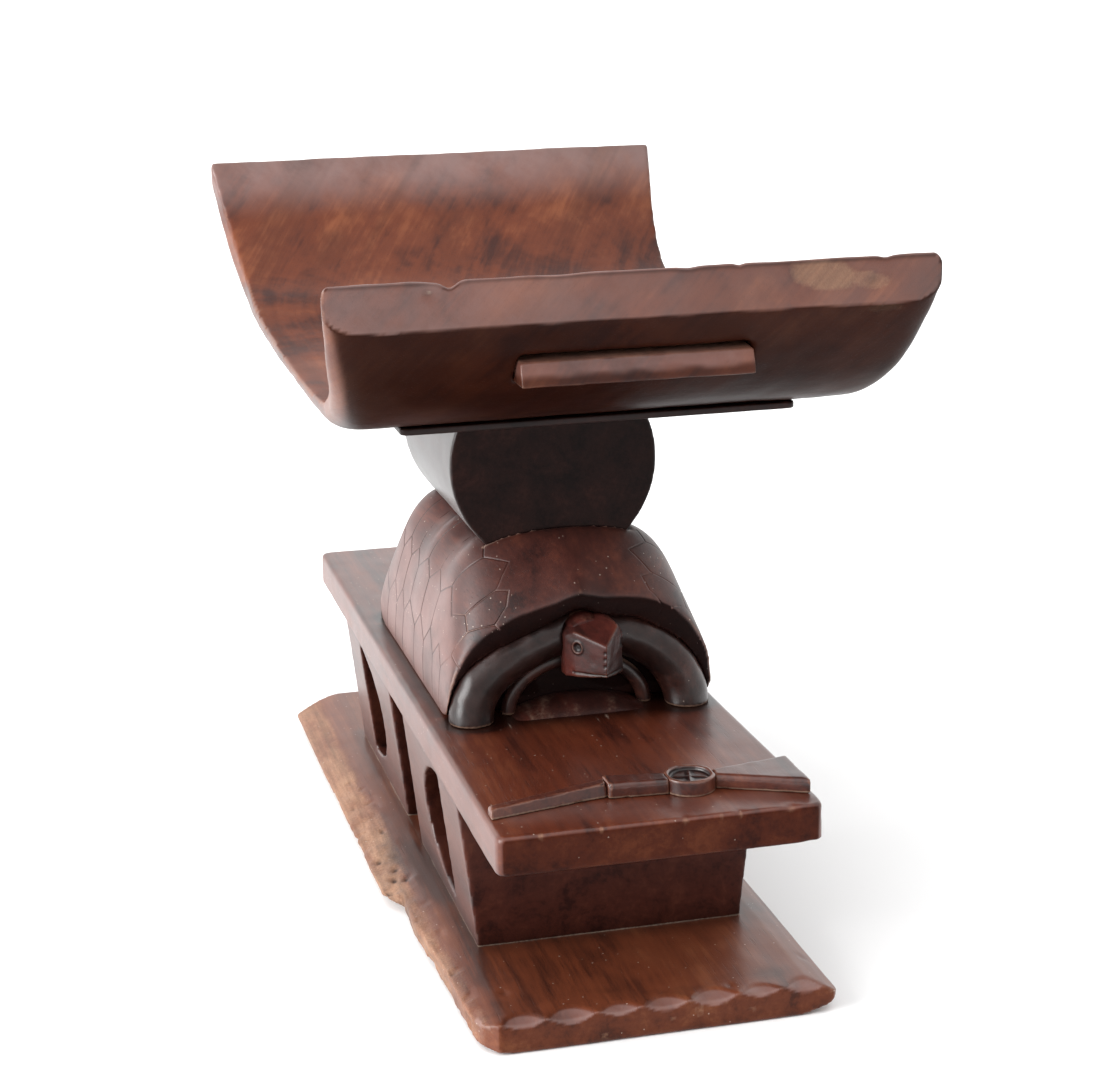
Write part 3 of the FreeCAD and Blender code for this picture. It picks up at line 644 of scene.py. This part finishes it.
def scute_lines():
    lines = []
    for side in (-1, 1):
        lines.append(on_flank(ROW1 if side < 0 else [(y + 3, z + 1) for y, z in ROW1], side))
        lines.append(on_flank(ROW2 if side < 0 else [(y + 2, z - 1) for y, z in ROW2], side))
        for a, b in RISERS:
            if side > 0:
                a, b = (a[0] + 2.5, a[1]), (b[0] + 2.5, b[1])
            lines.append(on_flank([a, b], side))
        for end in (-1, 1):
            for f in FRONT:
                pts = [(x, y, z) for x, y, z in f]
                if side > 0:
                    pts = [(2 * XC - x, y, z + 1.5) for x, y, z in pts]
                if end > 0:
                    pts = [(x, -y, z) for x, y, z in pts]
                fine = []
                for a, b in zip(pts, pts[1:]):
                    for k in range(3):
                        fine.append(tuple(a[j] + (b[j] - a[j]) * k / 3 for j in range(3)))
                fine.append(pts[-1])
                lines.append(fine)
    return lines


def shell_piece():
    lines = scute_lines()
    me = remesh(node_mesh("tortoise_shell"), 1.0)
    relax(me, 4)
    calm_facets(me, 40, 0.14, 1)
    relax(me, 2)
    co, n = coords(me), normals(me)
    calm = sstep(100, 88, np.abs(co[:, 1]))
    co = co + (carve(co, n, 0.10, 34.0, 13.0, 41) - co) * (0.3 + 0.7 * calm)[:, None]
    peak = np.exp(-np.abs(co[:, 0] - XC) / 4.0) * sstep(97, 103, np.abs(co[:, 1])) * (np.abs(co[:, 2] - 184) < 9)
    co[:, 2] += 0.6 * peak
    put(me, co)

    def outside(co, n):
        r = np.hypot((co[:, 0] - XC) / 74.0, (co[:, 2] - 116.5) / 96.0)
        return (n[:, 0] * (co[:, 0] - XC) + n[:, 2] * (co[:, 2] - 116.5) > 0) & (r > 0.6)

    for reach in (1.7, 1.1):
        refine(me, lambda mesh: (segment_gap(coords(mesh), normals(mesh), lines) < reach)
               & outside(coords(mesh), normals(mesh)), 1)
    co, n = coords(me), normals(me)
    gap = segment_gap(co, n, lines) + 0.10 * noise(co, 5.0, 6)
    groove = np.where(outside(co, n), np.exp(-(np.maximum(gap, 0) / 0.40) ** 2), 0.0)
    fade = 0.7 + 0.3 * noise(co, 18.0, 12)
    wear, cav = edge_layers(me, 41)
    put(me, co - n * (0.42 * groove * fade)[:, None])
    co, n = coords(me), normals(me)
    ny = soften(np.abs(n[:, 1]), me, 4)
    nr = soften((n[:, 0] * (co[:, 0] - XC) / 74.0 + n[:, 2] * (co[:, 2] - 116.5) / 96.0), me, 4)
    lip = sstep(0.84, 0.93, ny) * (np.abs(co[:, 1]) > 90)
    inner = np.maximum(sstep(0.08, -0.02, nr) * (np.abs(co[:, 1]) > 80), 1.0 * (~outside(co, n)))
    low = np.exp(-((co[:, 2] - 117.0) / 0.9) ** 2)
    drum = np.exp(-((np.abs(co[:, 1]) - 68.5) / 1.1) ** 2) * (np.abs(co[:, 0] - 1) < 43) * (co[:, 2] > 200)
    rim = np.exp(-((np.abs(co[:, 0]) - 40.3) / 0.8) ** 2) * (np.abs(co[:, 1]) < 68) * (co[:, 2] > 200)
    # painted shade on the shell's top beside the ends of the drum, under the seat
    crest = 0.35 * sstep(190, 212, co[:, 2]) * np.exp(-((np.abs(co[:, 1]) - 70) / 9) ** 2)
    smoke = 0.30 * sstep(0.0, 0.8, fbm(co, (22.0, 22.0, 18.0), 3, 43))
    centre = 0.35 * np.exp(-((co[:, 0] - XC) / 16.0) ** 2) * sstep(192, 182, co[:, 2]) * (np.abs(co[:, 1]) > 80)
    # painted shade: the lip's front face and the inner walls of the hollow under the shell are darkened almost to black
    shut = np.clip(lip + 0.85 * inner, 0, 1)
    dark = np.clip(1.0 * shut + crest + smoke + centre, 0, 1)
    on_end = sstep(-62, -90, -np.abs(co[:, 1]))
    # painted sheen on the left-facing flank
    flank = (0.2 * sstep(-0.6, -0.88, n[:, 0]) + 0.8 * sstep(-0.88, -0.98, n[:, 0])) * (1 - shut)
    pale = groove * (0.15 + 0.85 * on_end) * (0.72 + 0.28 * noise(co, 9.0, 13)) * (1 - shut)
    # painted shade in the grooves away from the ends; on the ends the grooves hold pale dust
    sunk = groove * (1 - on_end)
    zero = np.zeros(len(co))
    paint(me, wear=wear * (1 - 0.9 * shut), cav=np.clip(cav + 0.75 * sunk, 0, 1), matt=shut, bloom=0.85 * flank,
          dust=np.clip(0.8 * pale + 0.7 * drum + 0.35 * rim + 0.5 * low * (1 - shut), 0, 1), dark=dark, bare=zero)
    finish_piece(me, "tortoise_shell_carved", ["tortoise_shell"], SHELL)


shell_piece()


def leg_layers(co, n, d):
    low = np.exp(-((co[:, 2] - 117.2) / 1.2) ** 2)
    cloud = fbm(co, (14.0, 14.0, 20.0), 3, 57)
    dab = sstep(0.25, 0.7, fbm(co, 6.0, 3, 58)) * sstep(-0.3, 0.6, n[:, 2])
    return {"dust": np.clip(low * 0.8 + 0.30 * dab, 0, 1), "wear": np.clip(d["wear"] * 0.5 + 0.5 * sstep(0.1, 0.8, cloud), 0, 1),
            "dark": 0.3 * sstep(0.0, -0.7, cloud), "matt": np.clip(0.25 + 0.4 * cloud, 0, 1)}


for nm, sd in (("front_left_leg", 51), ("front_right_leg", 52), ("hind_left_leg", 53), ("hind_right_leg", 54)):
    simple(nm, BEAST, 0.95, wave=0.6, smooth=5, seed=sd, layers=leg_layers, wear_depth=0.15,
           coarse=17.0, fine=6.0)


def rim_layers(co, n, d):
    top = sstep(0.2, 0.9, n[:, 2]) * sstep(118, 130, co[:, 2])
    return {"dust": np.clip(0.9 * top + 0.8 * np.exp(-((co[:, 2] - 117.2) / 1.2) ** 2), 0, 1)}


for nm, sd in (("front_belly_rim", 55), ("rear_belly_rim", 56)):
    simple(nm, BEAST, 0.7, wave=0.2, smooth=5, seed=sd, layers=rim_layers, wear_depth=0.1,
           coarse=12.0, fine=5.0)


def belly_piece(name, side, seed):
    nx, ny = 90, 40
    xs, ys = np.linspace(-38, 38, nx), np.linspace(88.0, 109.5, ny)
    gx, gy = np.meshgrid(xs, ys, indexing="ij")
    across = np.clip(1 - (gx / 38.0) ** 2, 0, 1) ** 0.8
    deep = np.clip(1 - ((gy - 94.0) / 15.5) ** 2, 0, 1)
    gz = 115.9 + 9.2 * across * deep ** 0.75
    top = np.stack([gx + 3.0, side * gy, gz], -1).reshape(-1, 3)
    top[:, 2] += 0.35 * fbm(top, 12.0, 3, seed) * np.clip(top[:, 2] - 116.2, 0, 1)
    low = np.stack([gx + 3.0, side * gy, np.full_like(gx, 114.5)], -1).reshape(-1, 3)
    verts = np.concatenate([top, low]) * MM
    faces = []
    ix = lambda i, j, k: k * nx * ny + i * ny + j
    for i in range(nx - 1):
        for j in range(ny - 1):
            faces.append((ix(i, j, 0), ix(i + 1, j, 0), ix(i + 1, j + 1, 0), ix(i, j + 1, 0)))
            faces.append((ix(i, j, 1), ix(i, j + 1, 1), ix(i + 1, j + 1, 1), ix(i + 1, j, 1)))
    for i in range(nx - 1):
        faces.append((ix(i, 0, 0), ix(i, 0, 1), ix(i + 1, 0, 1), ix(i + 1, 0, 0)))
        faces.append((ix(i, ny - 1, 0), ix(i + 1, ny - 1, 0), ix(i + 1, ny - 1, 1), ix(i, ny - 1, 1)))
    for j in range(ny - 1):
        faces.append((ix(0, j, 0), ix(0, j + 1, 0), ix(0, j + 1, 1), ix(0, j, 1)))
        faces.append((ix(nx - 1, j, 0), ix(nx - 1, j, 1), ix(nx - 1, j + 1, 1), ix(nx - 1, j + 1, 0)))
    if side < 0:
        faces = [tuple(reversed(f)) for f in faces]
    me = bpy.data.meshes.new(name)
    me.from_pydata([tuple(v) for v in verts], [], faces)
    me.update()
    co = coords(me)
    zero = np.zeros(len(co))
    front = sstep(98, 108, np.abs(co[:, 1]))
    # painted shade: the belly plates under the shell are darkened all over
    paint(me, wear=0.35 * front, cav=zero, dust=np.clip(0.34 + 0.30 * fbm(co, (5.0, 12.0, 5.0), 3, 4), 0, 1),
          dark=0.74 + 0.12 * noise(co, 11.0, 5), matt=0.75 + zero, bare=zero, bloom=0.16 + 0.1 * noise(co, 7.0, 6))
    finish_piece(me, name + "_carved", [name], HEAD)


belly_piece("front_belly", -1, 61)
belly_piece("rear_belly", 1, 62)


def head_piece():
    def edit(co):
        back = co[:, 1] > -107.5
        co[back, 1] += 6.0
        return co

    me = node_mesh("tortoise_head")
    co = edit(coords(me))
    co[:, 0] += 1.4
    high = sstep(150.0, 170.0, co[:, 2]) * sstep(18.0, 6.0, co[:, 0])
    right = sstep(10.0, 22.0, co[:, 0]) * sstep(150.0, 160.0, co[:, 2])
    co[:, 2] += 1.6 * right - 2.4 * high - 2.2 * sstep(160.0, 146.0, co[:, 2])
    put(me, co)
    me = remesh(me, 0.55)
    relax(me, 12)
    co, n = coords(me), normals(me)
    co = carve(co, n, 0.5, 9.0, 4.0, 71)
    put(me, co)
    n = normals(me)
    eyes = ((-2.4, -119.8, 158.4), (21.5, -117.0, 158.8))
    eye, pit = np.zeros(len(co)), np.zeros(len(co))
    for e in eyes:
        d = co - np.array(e)
        side = (n[:, 0] < 0.2) if e[0] < 6 else (n[:, 0] > -0.2)
        r = np.linalg.norm(d - n * (d * n).sum(1)[:, None], axis=1)
        r = np.where(side & (np.linalg.norm(d, axis=1) < 9), r, 99.0)
        k = 1.0 if e[0] < 6 else 0.45
        co = co + n * (k * (0.55 * np.exp(-((r - 3.2) / 0.6) ** 2) - 0.9 * np.exp(-(r / 2.3) ** 6)))[:, None]
        eye = np.maximum(eye, k * np.exp(-((r - 3.2) / 0.55) ** 2))
        pit = np.maximum(pit, k * np.exp(-(r / 2.4) ** 6))
    line = 144.3 + 0.11 * (-120.0 - co[:, 1]) * 0.6
    mouth = np.exp(-((co[:, 2] - line) / 0.5) ** 2) * (co[:, 1] < -116) * (np.abs(n[:, 2]) < 0.75)
    co = co - n * (0.75 * mouth)[:, None]
    # nicks on the back right corner of the crown and along the nose
    cuts = np.zeros(len(co))
    for k in range(5):
        at = np.array([22.5 - 0.6 * k, -117.0 + 2.6 * k, 165.5 + 0.7 * k])
        cuts = np.maximum(cuts, np.exp(-(np.linalg.norm(co - at, axis=1) / 1.0) ** 2))
    for z in (158.0, 154.5, 150.5):
        cuts = np.maximum(cuts, 0.6 * np.exp(-(np.linalg.norm(co - np.array([9.5, -133.0, z]), axis=1) / 1.0) ** 2))
    co = co - n * (0.9 * cuts)[:, None]
    put(me, co)
    wear, cav = edge_layers(me, 71, 2)
    co, n = coords(me), normals(me)
    zero = np.zeros(len(co))
    # painted light and shade: the crown is lighter, the other faces darker, the right cheek darker still and the eye
    # pits dark
    crown = sstep(0.5, 0.85, n[:, 2])
    paint(me, wear=np.clip(wear + 0.25 * crown, 0, 1), cav=cav, dust=np.clip(0.5 * mouth + 0.55 * eye + 0.3 * cuts, 0, 1),
          dark=np.clip(0.12 * (1 - crown) + 0.7 * pit + 0.35 * sstep(8, 14, co[:, 0]) * (1 - crown), 0, 1), matt=0.35 * (1 - crown), bare=zero)
    finish_piece(me, "tortoise_head_carved", ["tortoise_head"], HEAD)


head_piece()


def neck_edit(co):
    front = co[:, 1] < -106
    grow = np.where(front, 0.86, 1.12)
    co[:, 0] = 6.5 + (co[:, 0] - 6.5) * grow
    co[:, 2] = 160.5 + (co[:, 2] - 160.5) * grow
    co[front, 1] -= 5.0
    return co


simple("tortoise_neck", HEAD, 0.8, wave=0.4, smooth=22, seed=72, edit=neck_edit,
       layers=lambda co, n, d: {"dust": 0.4 * sstep(-0.2, 0.9, n[:, 2]) * sstep(-101, -106, co[:, 1])
                                + 0.6 * np.exp(-((co[:, 1] + 100.5) / 1.5) ** 2), "dark": np.full(len(co), 0.12),
                                "matt": np.full(len(co), 0.6)}, wear_depth=0.1, coarse=10.0, fine=4.0)
simple("tortoise_tail", BEAST, 0.8, wave=0.3, smooth=6, seed=73, wear_depth=0.1, coarse=10.0, fine=4.0)


# ---- musket
def gun_layers(co, n, d):
    low = np.exp(-((co[:, 2] - 117.2) / 1.0) ** 2)
    return {"dust": np.clip(0.75 * low, 0, 1), "wear": np.clip(d["wear"] * 1.2, 0, 1)}


for nm, sd in (("musket_barrel", 81), ("musket_breech", 82), ("musket_butt", 84)):
    simple(nm, RELIEF, 0.6, wave=0.22, smooth=4, seed=sd, layers=gun_layers, wear_depth=0.3,
           coarse=14.0, fine=5.0)


def pan_after(co, n, me):
    r = np.hypot(co[:, 0] - 25.5, co[:, 1] + 231.7)
    a = np.arctan2(co[:, 1] + 231.7, co[:, 0] - 25.5)
    floor = (r < 10.4) & (n[:, 2] > 0.4) & (co[:, 2] < 124.2)
    star = np.abs(np.sin(2 * a + 0.5)) * r
    co[:, 2] += np.where(floor, 0.8 * np.exp(-(star / 2.2) ** 2) * sstep(10.4, 7.0, r), 0)
    return co


# painted shade: the pan's hollow is darkened
simple("musket_pan", RELIEF, 0.5, wave=0.2, smooth=3, seed=83, after=pan_after,
       layers=lambda co, n, d: {"dust": np.clip(0.7 * np.exp(-((co[:, 2] - 117.2) / 1.0) ** 2)
                                + 0.2 * (np.hypot(co[:, 0] - 25.5, co[:, 1] + 231.7) < 10) * (n[:, 2] > 0.5), 0, 1),
                                "dark": 0.55 * (np.hypot(co[:, 0] - 25.5, co[:, 1] + 231.7) < 10.6) * (co[:, 2] < 124.4),
                                "wear": d["wear"] * (np.hypot(co[:, 0] - 25.5, co[:, 1] + 231.7) > 9.5)},
       wear_depth=0.2, coarse=12.0, fine=4.0)


# ---- drum and ledge
def drum_edit(co):
    co[co[:, 2] < 205.6, 2] -= 1.0
    co[co[:, 2] > 291.4, 2] += 1.0
    return co


def drum_layers(co, n, d):
    left = sstep(-0.2, -0.7, n[:, 0])
    ends = facing_ends(n, 0.6, 0.9)
    scratch = sstep(0.5, 0.8, noise(co, (2.0, 26.0, 2.0), 9)) * left
    # painted shade on the upright end faces, which are also matt
    return {"wear": np.clip(d["wear"] * (1 - 0.6 * ends) + 0.3 * scratch, 0, 1), "matt": 0.96 * ends, "dark": 0.1 * ends}


simple("support_drum", LEDGE, 1.3, wave=0.3, smooth=2, seed=91, edit=drum_edit, layers=drum_layers,
       wear_depth=0.3)
simple("seat_ledge", LEDGE, 1.0, wave=0.2, smooth=1, seed=92, wear_depth=0.2,
       layers=lambda co, n, d: {"matt": np.full(len(co), 0.8)})


# ---- seat
def round_corner(co, cx, cz, sx, r, sel):
    vx, vz = (co[:, 0] - cx) * sx, co[:, 2] - cz
    m = sel & (vx > 0) & (vz > 0)
    length = np.hypot(vx, vz)
    k = np.where(m & (length > r), r / np.maximum(length, 1e-6), 1.0)
    co[:, 0] = np.where(m, cx + sx * vx * k, co[:, 0])
    co[:, 2] = np.where(m, cz + vz * k, co[:, 2])
    return co


def seat_after(co, n, me):
    front, rear = co[:, 1] < -150, co[:, 1] > 150
    co = round_corner(co, -150.5 + 7.5, 380.7 - 7.5, -1, 7.5, front)
    co = round_corner(co, 149.5 - 9.0, 380.7 - 9.0, 1, 9.0, front)
    co = round_corner(co, -145.0 + 6.0, 387.3 - 6.0, -1, 6.0, rear)
    co = round_corner(co, 146.0 - 6.0, 387.3 - 6.0, 1, 6.0, rear)
    # notch, dent and small losses along the front top edge
    top = sstep(372, 379, co[:, 2]) * (co[:, 1] < -225)
    for x, w, d in ((-91, 4.0, 3.4), (-98, 7.0, 1.0), (22, 5.0, 0.9), (47, 2.0, 1.0), (120, 3.0, 0.9), (-40, 9.0, 0.5)):
        co[:, 2] -= top * d * bump_at(co[:, 0], x, w)
    face = (co[:, 1] < -240)
    dent = bump_at(co[:, 0], -101, 4.2) * bump_at(co[:, 2], 374, 3.2) * face
    dent2 = bump_at(co[:, 0], 114, 2.5) * bump_at(co[:, 2], 369, 3.0) * face
    co[:, 1] += 1.3 * dent + 0.8 * dent2
    gouge = bump_at(co[:, 0] + 0.3 * co[:, 2], 111, 2.0) * sstep(372, 360, co[:, 2]) * face * 0
    co[:, 1] += gouge
    # scraped hollows along the lower edge of the front end face
    low = bump_at(co[:, 2], 357, 3.0) * (co[:, 1] < -238)
    co[:, 1] += low * 0.35 * sstep(-0.2, 0.8, noise(co, (14.0, 30.0, 30.0), 77))
    return co


def seat_layers(co, n, d):
    x, y, z = co[:, 0], co[:, 1], co[:, 2]
    face = sstep(0.93, 0.97, np.abs(n[:, 1])) * (np.abs(y) > 238)
    front = 1.0 * (y < 0)
    wx, wz = x + 5 * fbm(co, 14.0, 2, 61), z + 2.6 * fbm(co, (20.0, 8.0, 6.0), 3, 62)
    e1 = ((wx - 90) / 17) ** 2 + ((wz - 371.5 + 0.12 * (wx - 92)) / 8.0) ** 2
    e2 = ((wx - 112) / 13) ** 2 + ((wz - 368.5) / 4.2) ** 2
    patch = np.maximum(sstep(1.5, 0.5, e1), 0.75 * sstep(1.4, 0.5, e2)) * face * front
    lower = sstep(1.3, 0.5, ((wx - 120) / 10) ** 2 + ((wz - 353) / 2.2) ** 2) * (y < -232)
    left = sstep(-0.25, -0.6, n[:, 0])
    inner = sstep(0.2, 0.5, n[:, 2]) + (n[:, 1] > 0.1) * (y < 0) + (n[:, 1] < -0.1) * (y > 0)
    inner = np.clip(inner, 0, 1) * (1 - face)
    outer = (1 - inner) * (1 - face)
    worn_dish = inner * sstep(335, 306, z)
    # the left-facing faces at the left end: some bare wood and wear, and painted light from the left (less shade, pale
    # sheen)
    edge_l = left * sstep(-118, -140, x)
    outer = outer * (1 - 0.8 * edge_l)
    low = sstep(356, 300, z)
    cloud = fbm(co, (38.0, 38.0, 22.0), 3, 63)
    # painted shade: the outer surface below the rim is near black, and the end faces and the inner surface are darker
    # towards the right, away from the light
    dark = outer * (0.93 + 0.07 * low + 0.08 * cloud) + face * (0.14 + 0.12 * sstep(-20, 60, x) + 0.24 * cloud)
    dark = dark + inner * 0.22 * sstep(30, 135, x)
    streaks = fbm(np.stack([x * 0.75 - z * 0.66, y * 0.04, x * 0.1], 1), (9.0, 9.0, 9.0), 3, 64)
    dark = dark + inner * (0.22 * sstep(0.0, 0.8, streaks) + 0.12 * sstep(374, 388, z) + 0.18 * sstep(0.2, 0.8, cloud))
    topline = np.exp(-((z - (378.2 + 6.6 * (y > 0))) / 0.9) ** 2) * face
    bare = np.clip(0.74 * patch + 0.6 * lower + 0.26 * edge_l, 0, 1)
    # painted sheen: pale on the end faces, more towards the left, on the inner surface near the top, and on the
    # left-facing faces
    bloom = face * (0.24 + 0.34 * sstep(60, -140, x) + 0.16 * cloud) * (1 - 0.7 * patch) + inner * 0.85 * sstep(350, 384, z + 5 * cloud) + 0.25 * edge_l
    # the end faces are also lightened through the wear layer, as painted sheen
    wear = np.clip(d["wear"] + 0.30 * worn_dish + 0.25 * edge_l + 0.16 * face, 0, 1)
    dent = bump_at(x, -101, 3.2) * bump_at(z, 374, 2.4) * face * front
    return {"bloom": np.clip(bloom, 0, 1), "bare": bare, "dark": np.clip(dark + 0.5 * topline, 0, 1), "wear": wear, "dust": np.clip(0.55 * dent, 0, 1),
            "matt": np.clip(0.96 * outer + 0.75 * inner * sstep(378, 350, z), 0, 1)}


simple("seat", SEAT, 1.6, wave=0.5, smooth=1, seed=101, after=seat_after, layers=seat_layers,
       wear_depth=0.4, coarse=24.0, fine=11.0)


def lug_edit(co):
    tip = (np.abs(co[:, 1]) > 237) & (co[:, 2] > 335)
    co[tip, 1] -= 4.2 * np.sign(co[tip, 1])
    co[tip, 2] -= 3.4
    return co


def lug_layers(co, n, d):
    top = sstep(328, 332.5, co[:, 2] + 0.8 * noise(co, (9.0, 9.0, 3.0), 7))
    edge = sstep(336.0, 338.0, co[:, 2])
    # painted light and shade: the top is lighter with a pale sheen, the lower part darker
    return {"wear": np.clip(d["wear"] + 0.55 * edge + 0.15 * top, 0, 1), "dark": np.clip(0.62 * (1 - top), 0, 1),
            "cav": 0.2 * d["cav"], "matt": 0.55 * (1 - top), "bloom": 0.5 * top,
            "bare": np.clip(0.42 * edge + 0.10 * top + 0.4 * d["wear"] * (co[:, 0] < -55), 0, 1)}


for nm, sd in (("front_lug", 111), ("rear_lug", 112)):
    simple(nm, SEAT, 0.8, wave=0.4, smooth=4, seed=sd, edit=lug_edit, layers=lug_layers, wear_depth=0.4,
           coarse=16.0, fine=6.0)


# ============================================================ floor and light
def floor():
    me = bpy.data.meshes.new("studio_floor")
    s = 30.0
    me.from_pydata([(-s, -s, 0), (s, -s, 0), (s, s, 0), (-s, s, 0)], [], [(0, 1, 2, 3)])
    mat = bpy.data.materials.new("white_paper")
    mat.use_nodes = True
    b = mat.node_tree.nodes["Principled BSDF"]
    b.inputs["Base Color"].default_value = (0.90, 0.90, 0.90, 1)
    b.inputs["Roughness"].default_value = 0.95
    b.inputs["Specular IOR Level"].default_value = 0.1
    me.materials.append(mat)
    ob = bpy.data.objects.new("studio_floor", me)
    ob.location = (0, 0, -0.0004)
    bpy.context.scene.collection.objects.link(ob)


floor()

world = bpy.data.worlds.new("studio")
bpy.context.scene.world = world
world.use_nodes = True
wn, wl = world.node_tree.nodes, world.node_tree.links
wn.clear()
tc = wn.new("ShaderNodeTexCoord")
sx = wn.new("ShaderNodeSeparateXYZ")
wl.new(tc.outputs["Generated"], sx.inputs[0])
mr = wn.new("ShaderNodeMapRange")
mr.interpolation_type = "SMOOTHSTEP"
mr.inputs["From Min"].default_value = -0.8
mr.inputs["From Max"].default_value = 0.8
mr.inputs["To Min"].default_value = 0.85
mr.inputs["To Max"].default_value = 1.6
wl.new(sx.outputs["Y"], mr.inputs["Value"])
bg = wn.new("ShaderNodeBackground")
bg.inputs["Color"].default_value = (1.0, 1.0, 1.0, 1)
wl.new(mr.outputs["Result"], bg.inputs["Strength"])
wo = wn.new("ShaderNodeOutputWorld")
wl.new(bg.outputs["Background"], wo.inputs["Surface"])


def sun(name, direction, strength, angle, colour=(1, 1, 1)):
    data = bpy.data.lights.new(name, "SUN")
    data.energy = strength
    data.angle = math.radians(angle)
    data.color = colour
    ob = bpy.data.objects.new(name, data)
    ob.rotation_mode = "QUATERNION"
    ob.rotation_quaternion = Vector(direction).to_track_quat("-Z", "Y")
    bpy.context.scene.collection.objects.link(ob)


sun("key_softbox", (0.93, 0.16, -0.36), 4.0, 42)
sun("top_softbox", (0.1, 0.3, -0.95), 0.8, 70)


# ==================================================================== camera
def camera():
    yaw, pitch, roll = math.radians(13.847), math.radians(15.197), math.radians(-1.118)
    f = Vector((math.sin(yaw) * math.cos(pitch), math.cos(yaw) * math.cos(pitch), -math.sin(pitch)))
    r = Vector((math.cos(yaw), -math.sin(yaw), 0))
    u = r.cross(f)
    r2 = math.cos(roll) * r + math.sin(roll) * u
    u2 = -math.sin(roll) * r + math.cos(roll) * u
    data = bpy.data.cameras.new("photo_view")
    data.lens = 78.34
    data.sensor_width = 36.0
    data.clip_start, data.clip_end = 0.05, 100
    ob = bpy.data.objects.new("photo_view", data)
    m = Matrix((r2, u2, -f)).transposed().to_4x4()
    m.translation = Vector((-0.3073, -1.3013, 0.5466))
    ob.matrix_world = m
    bpy.context.scene.collection.objects.link(ob)
    bpy.context.scene.camera = ob


camera()
bpy.context.scene.view_settings.view_transform = "Standard"
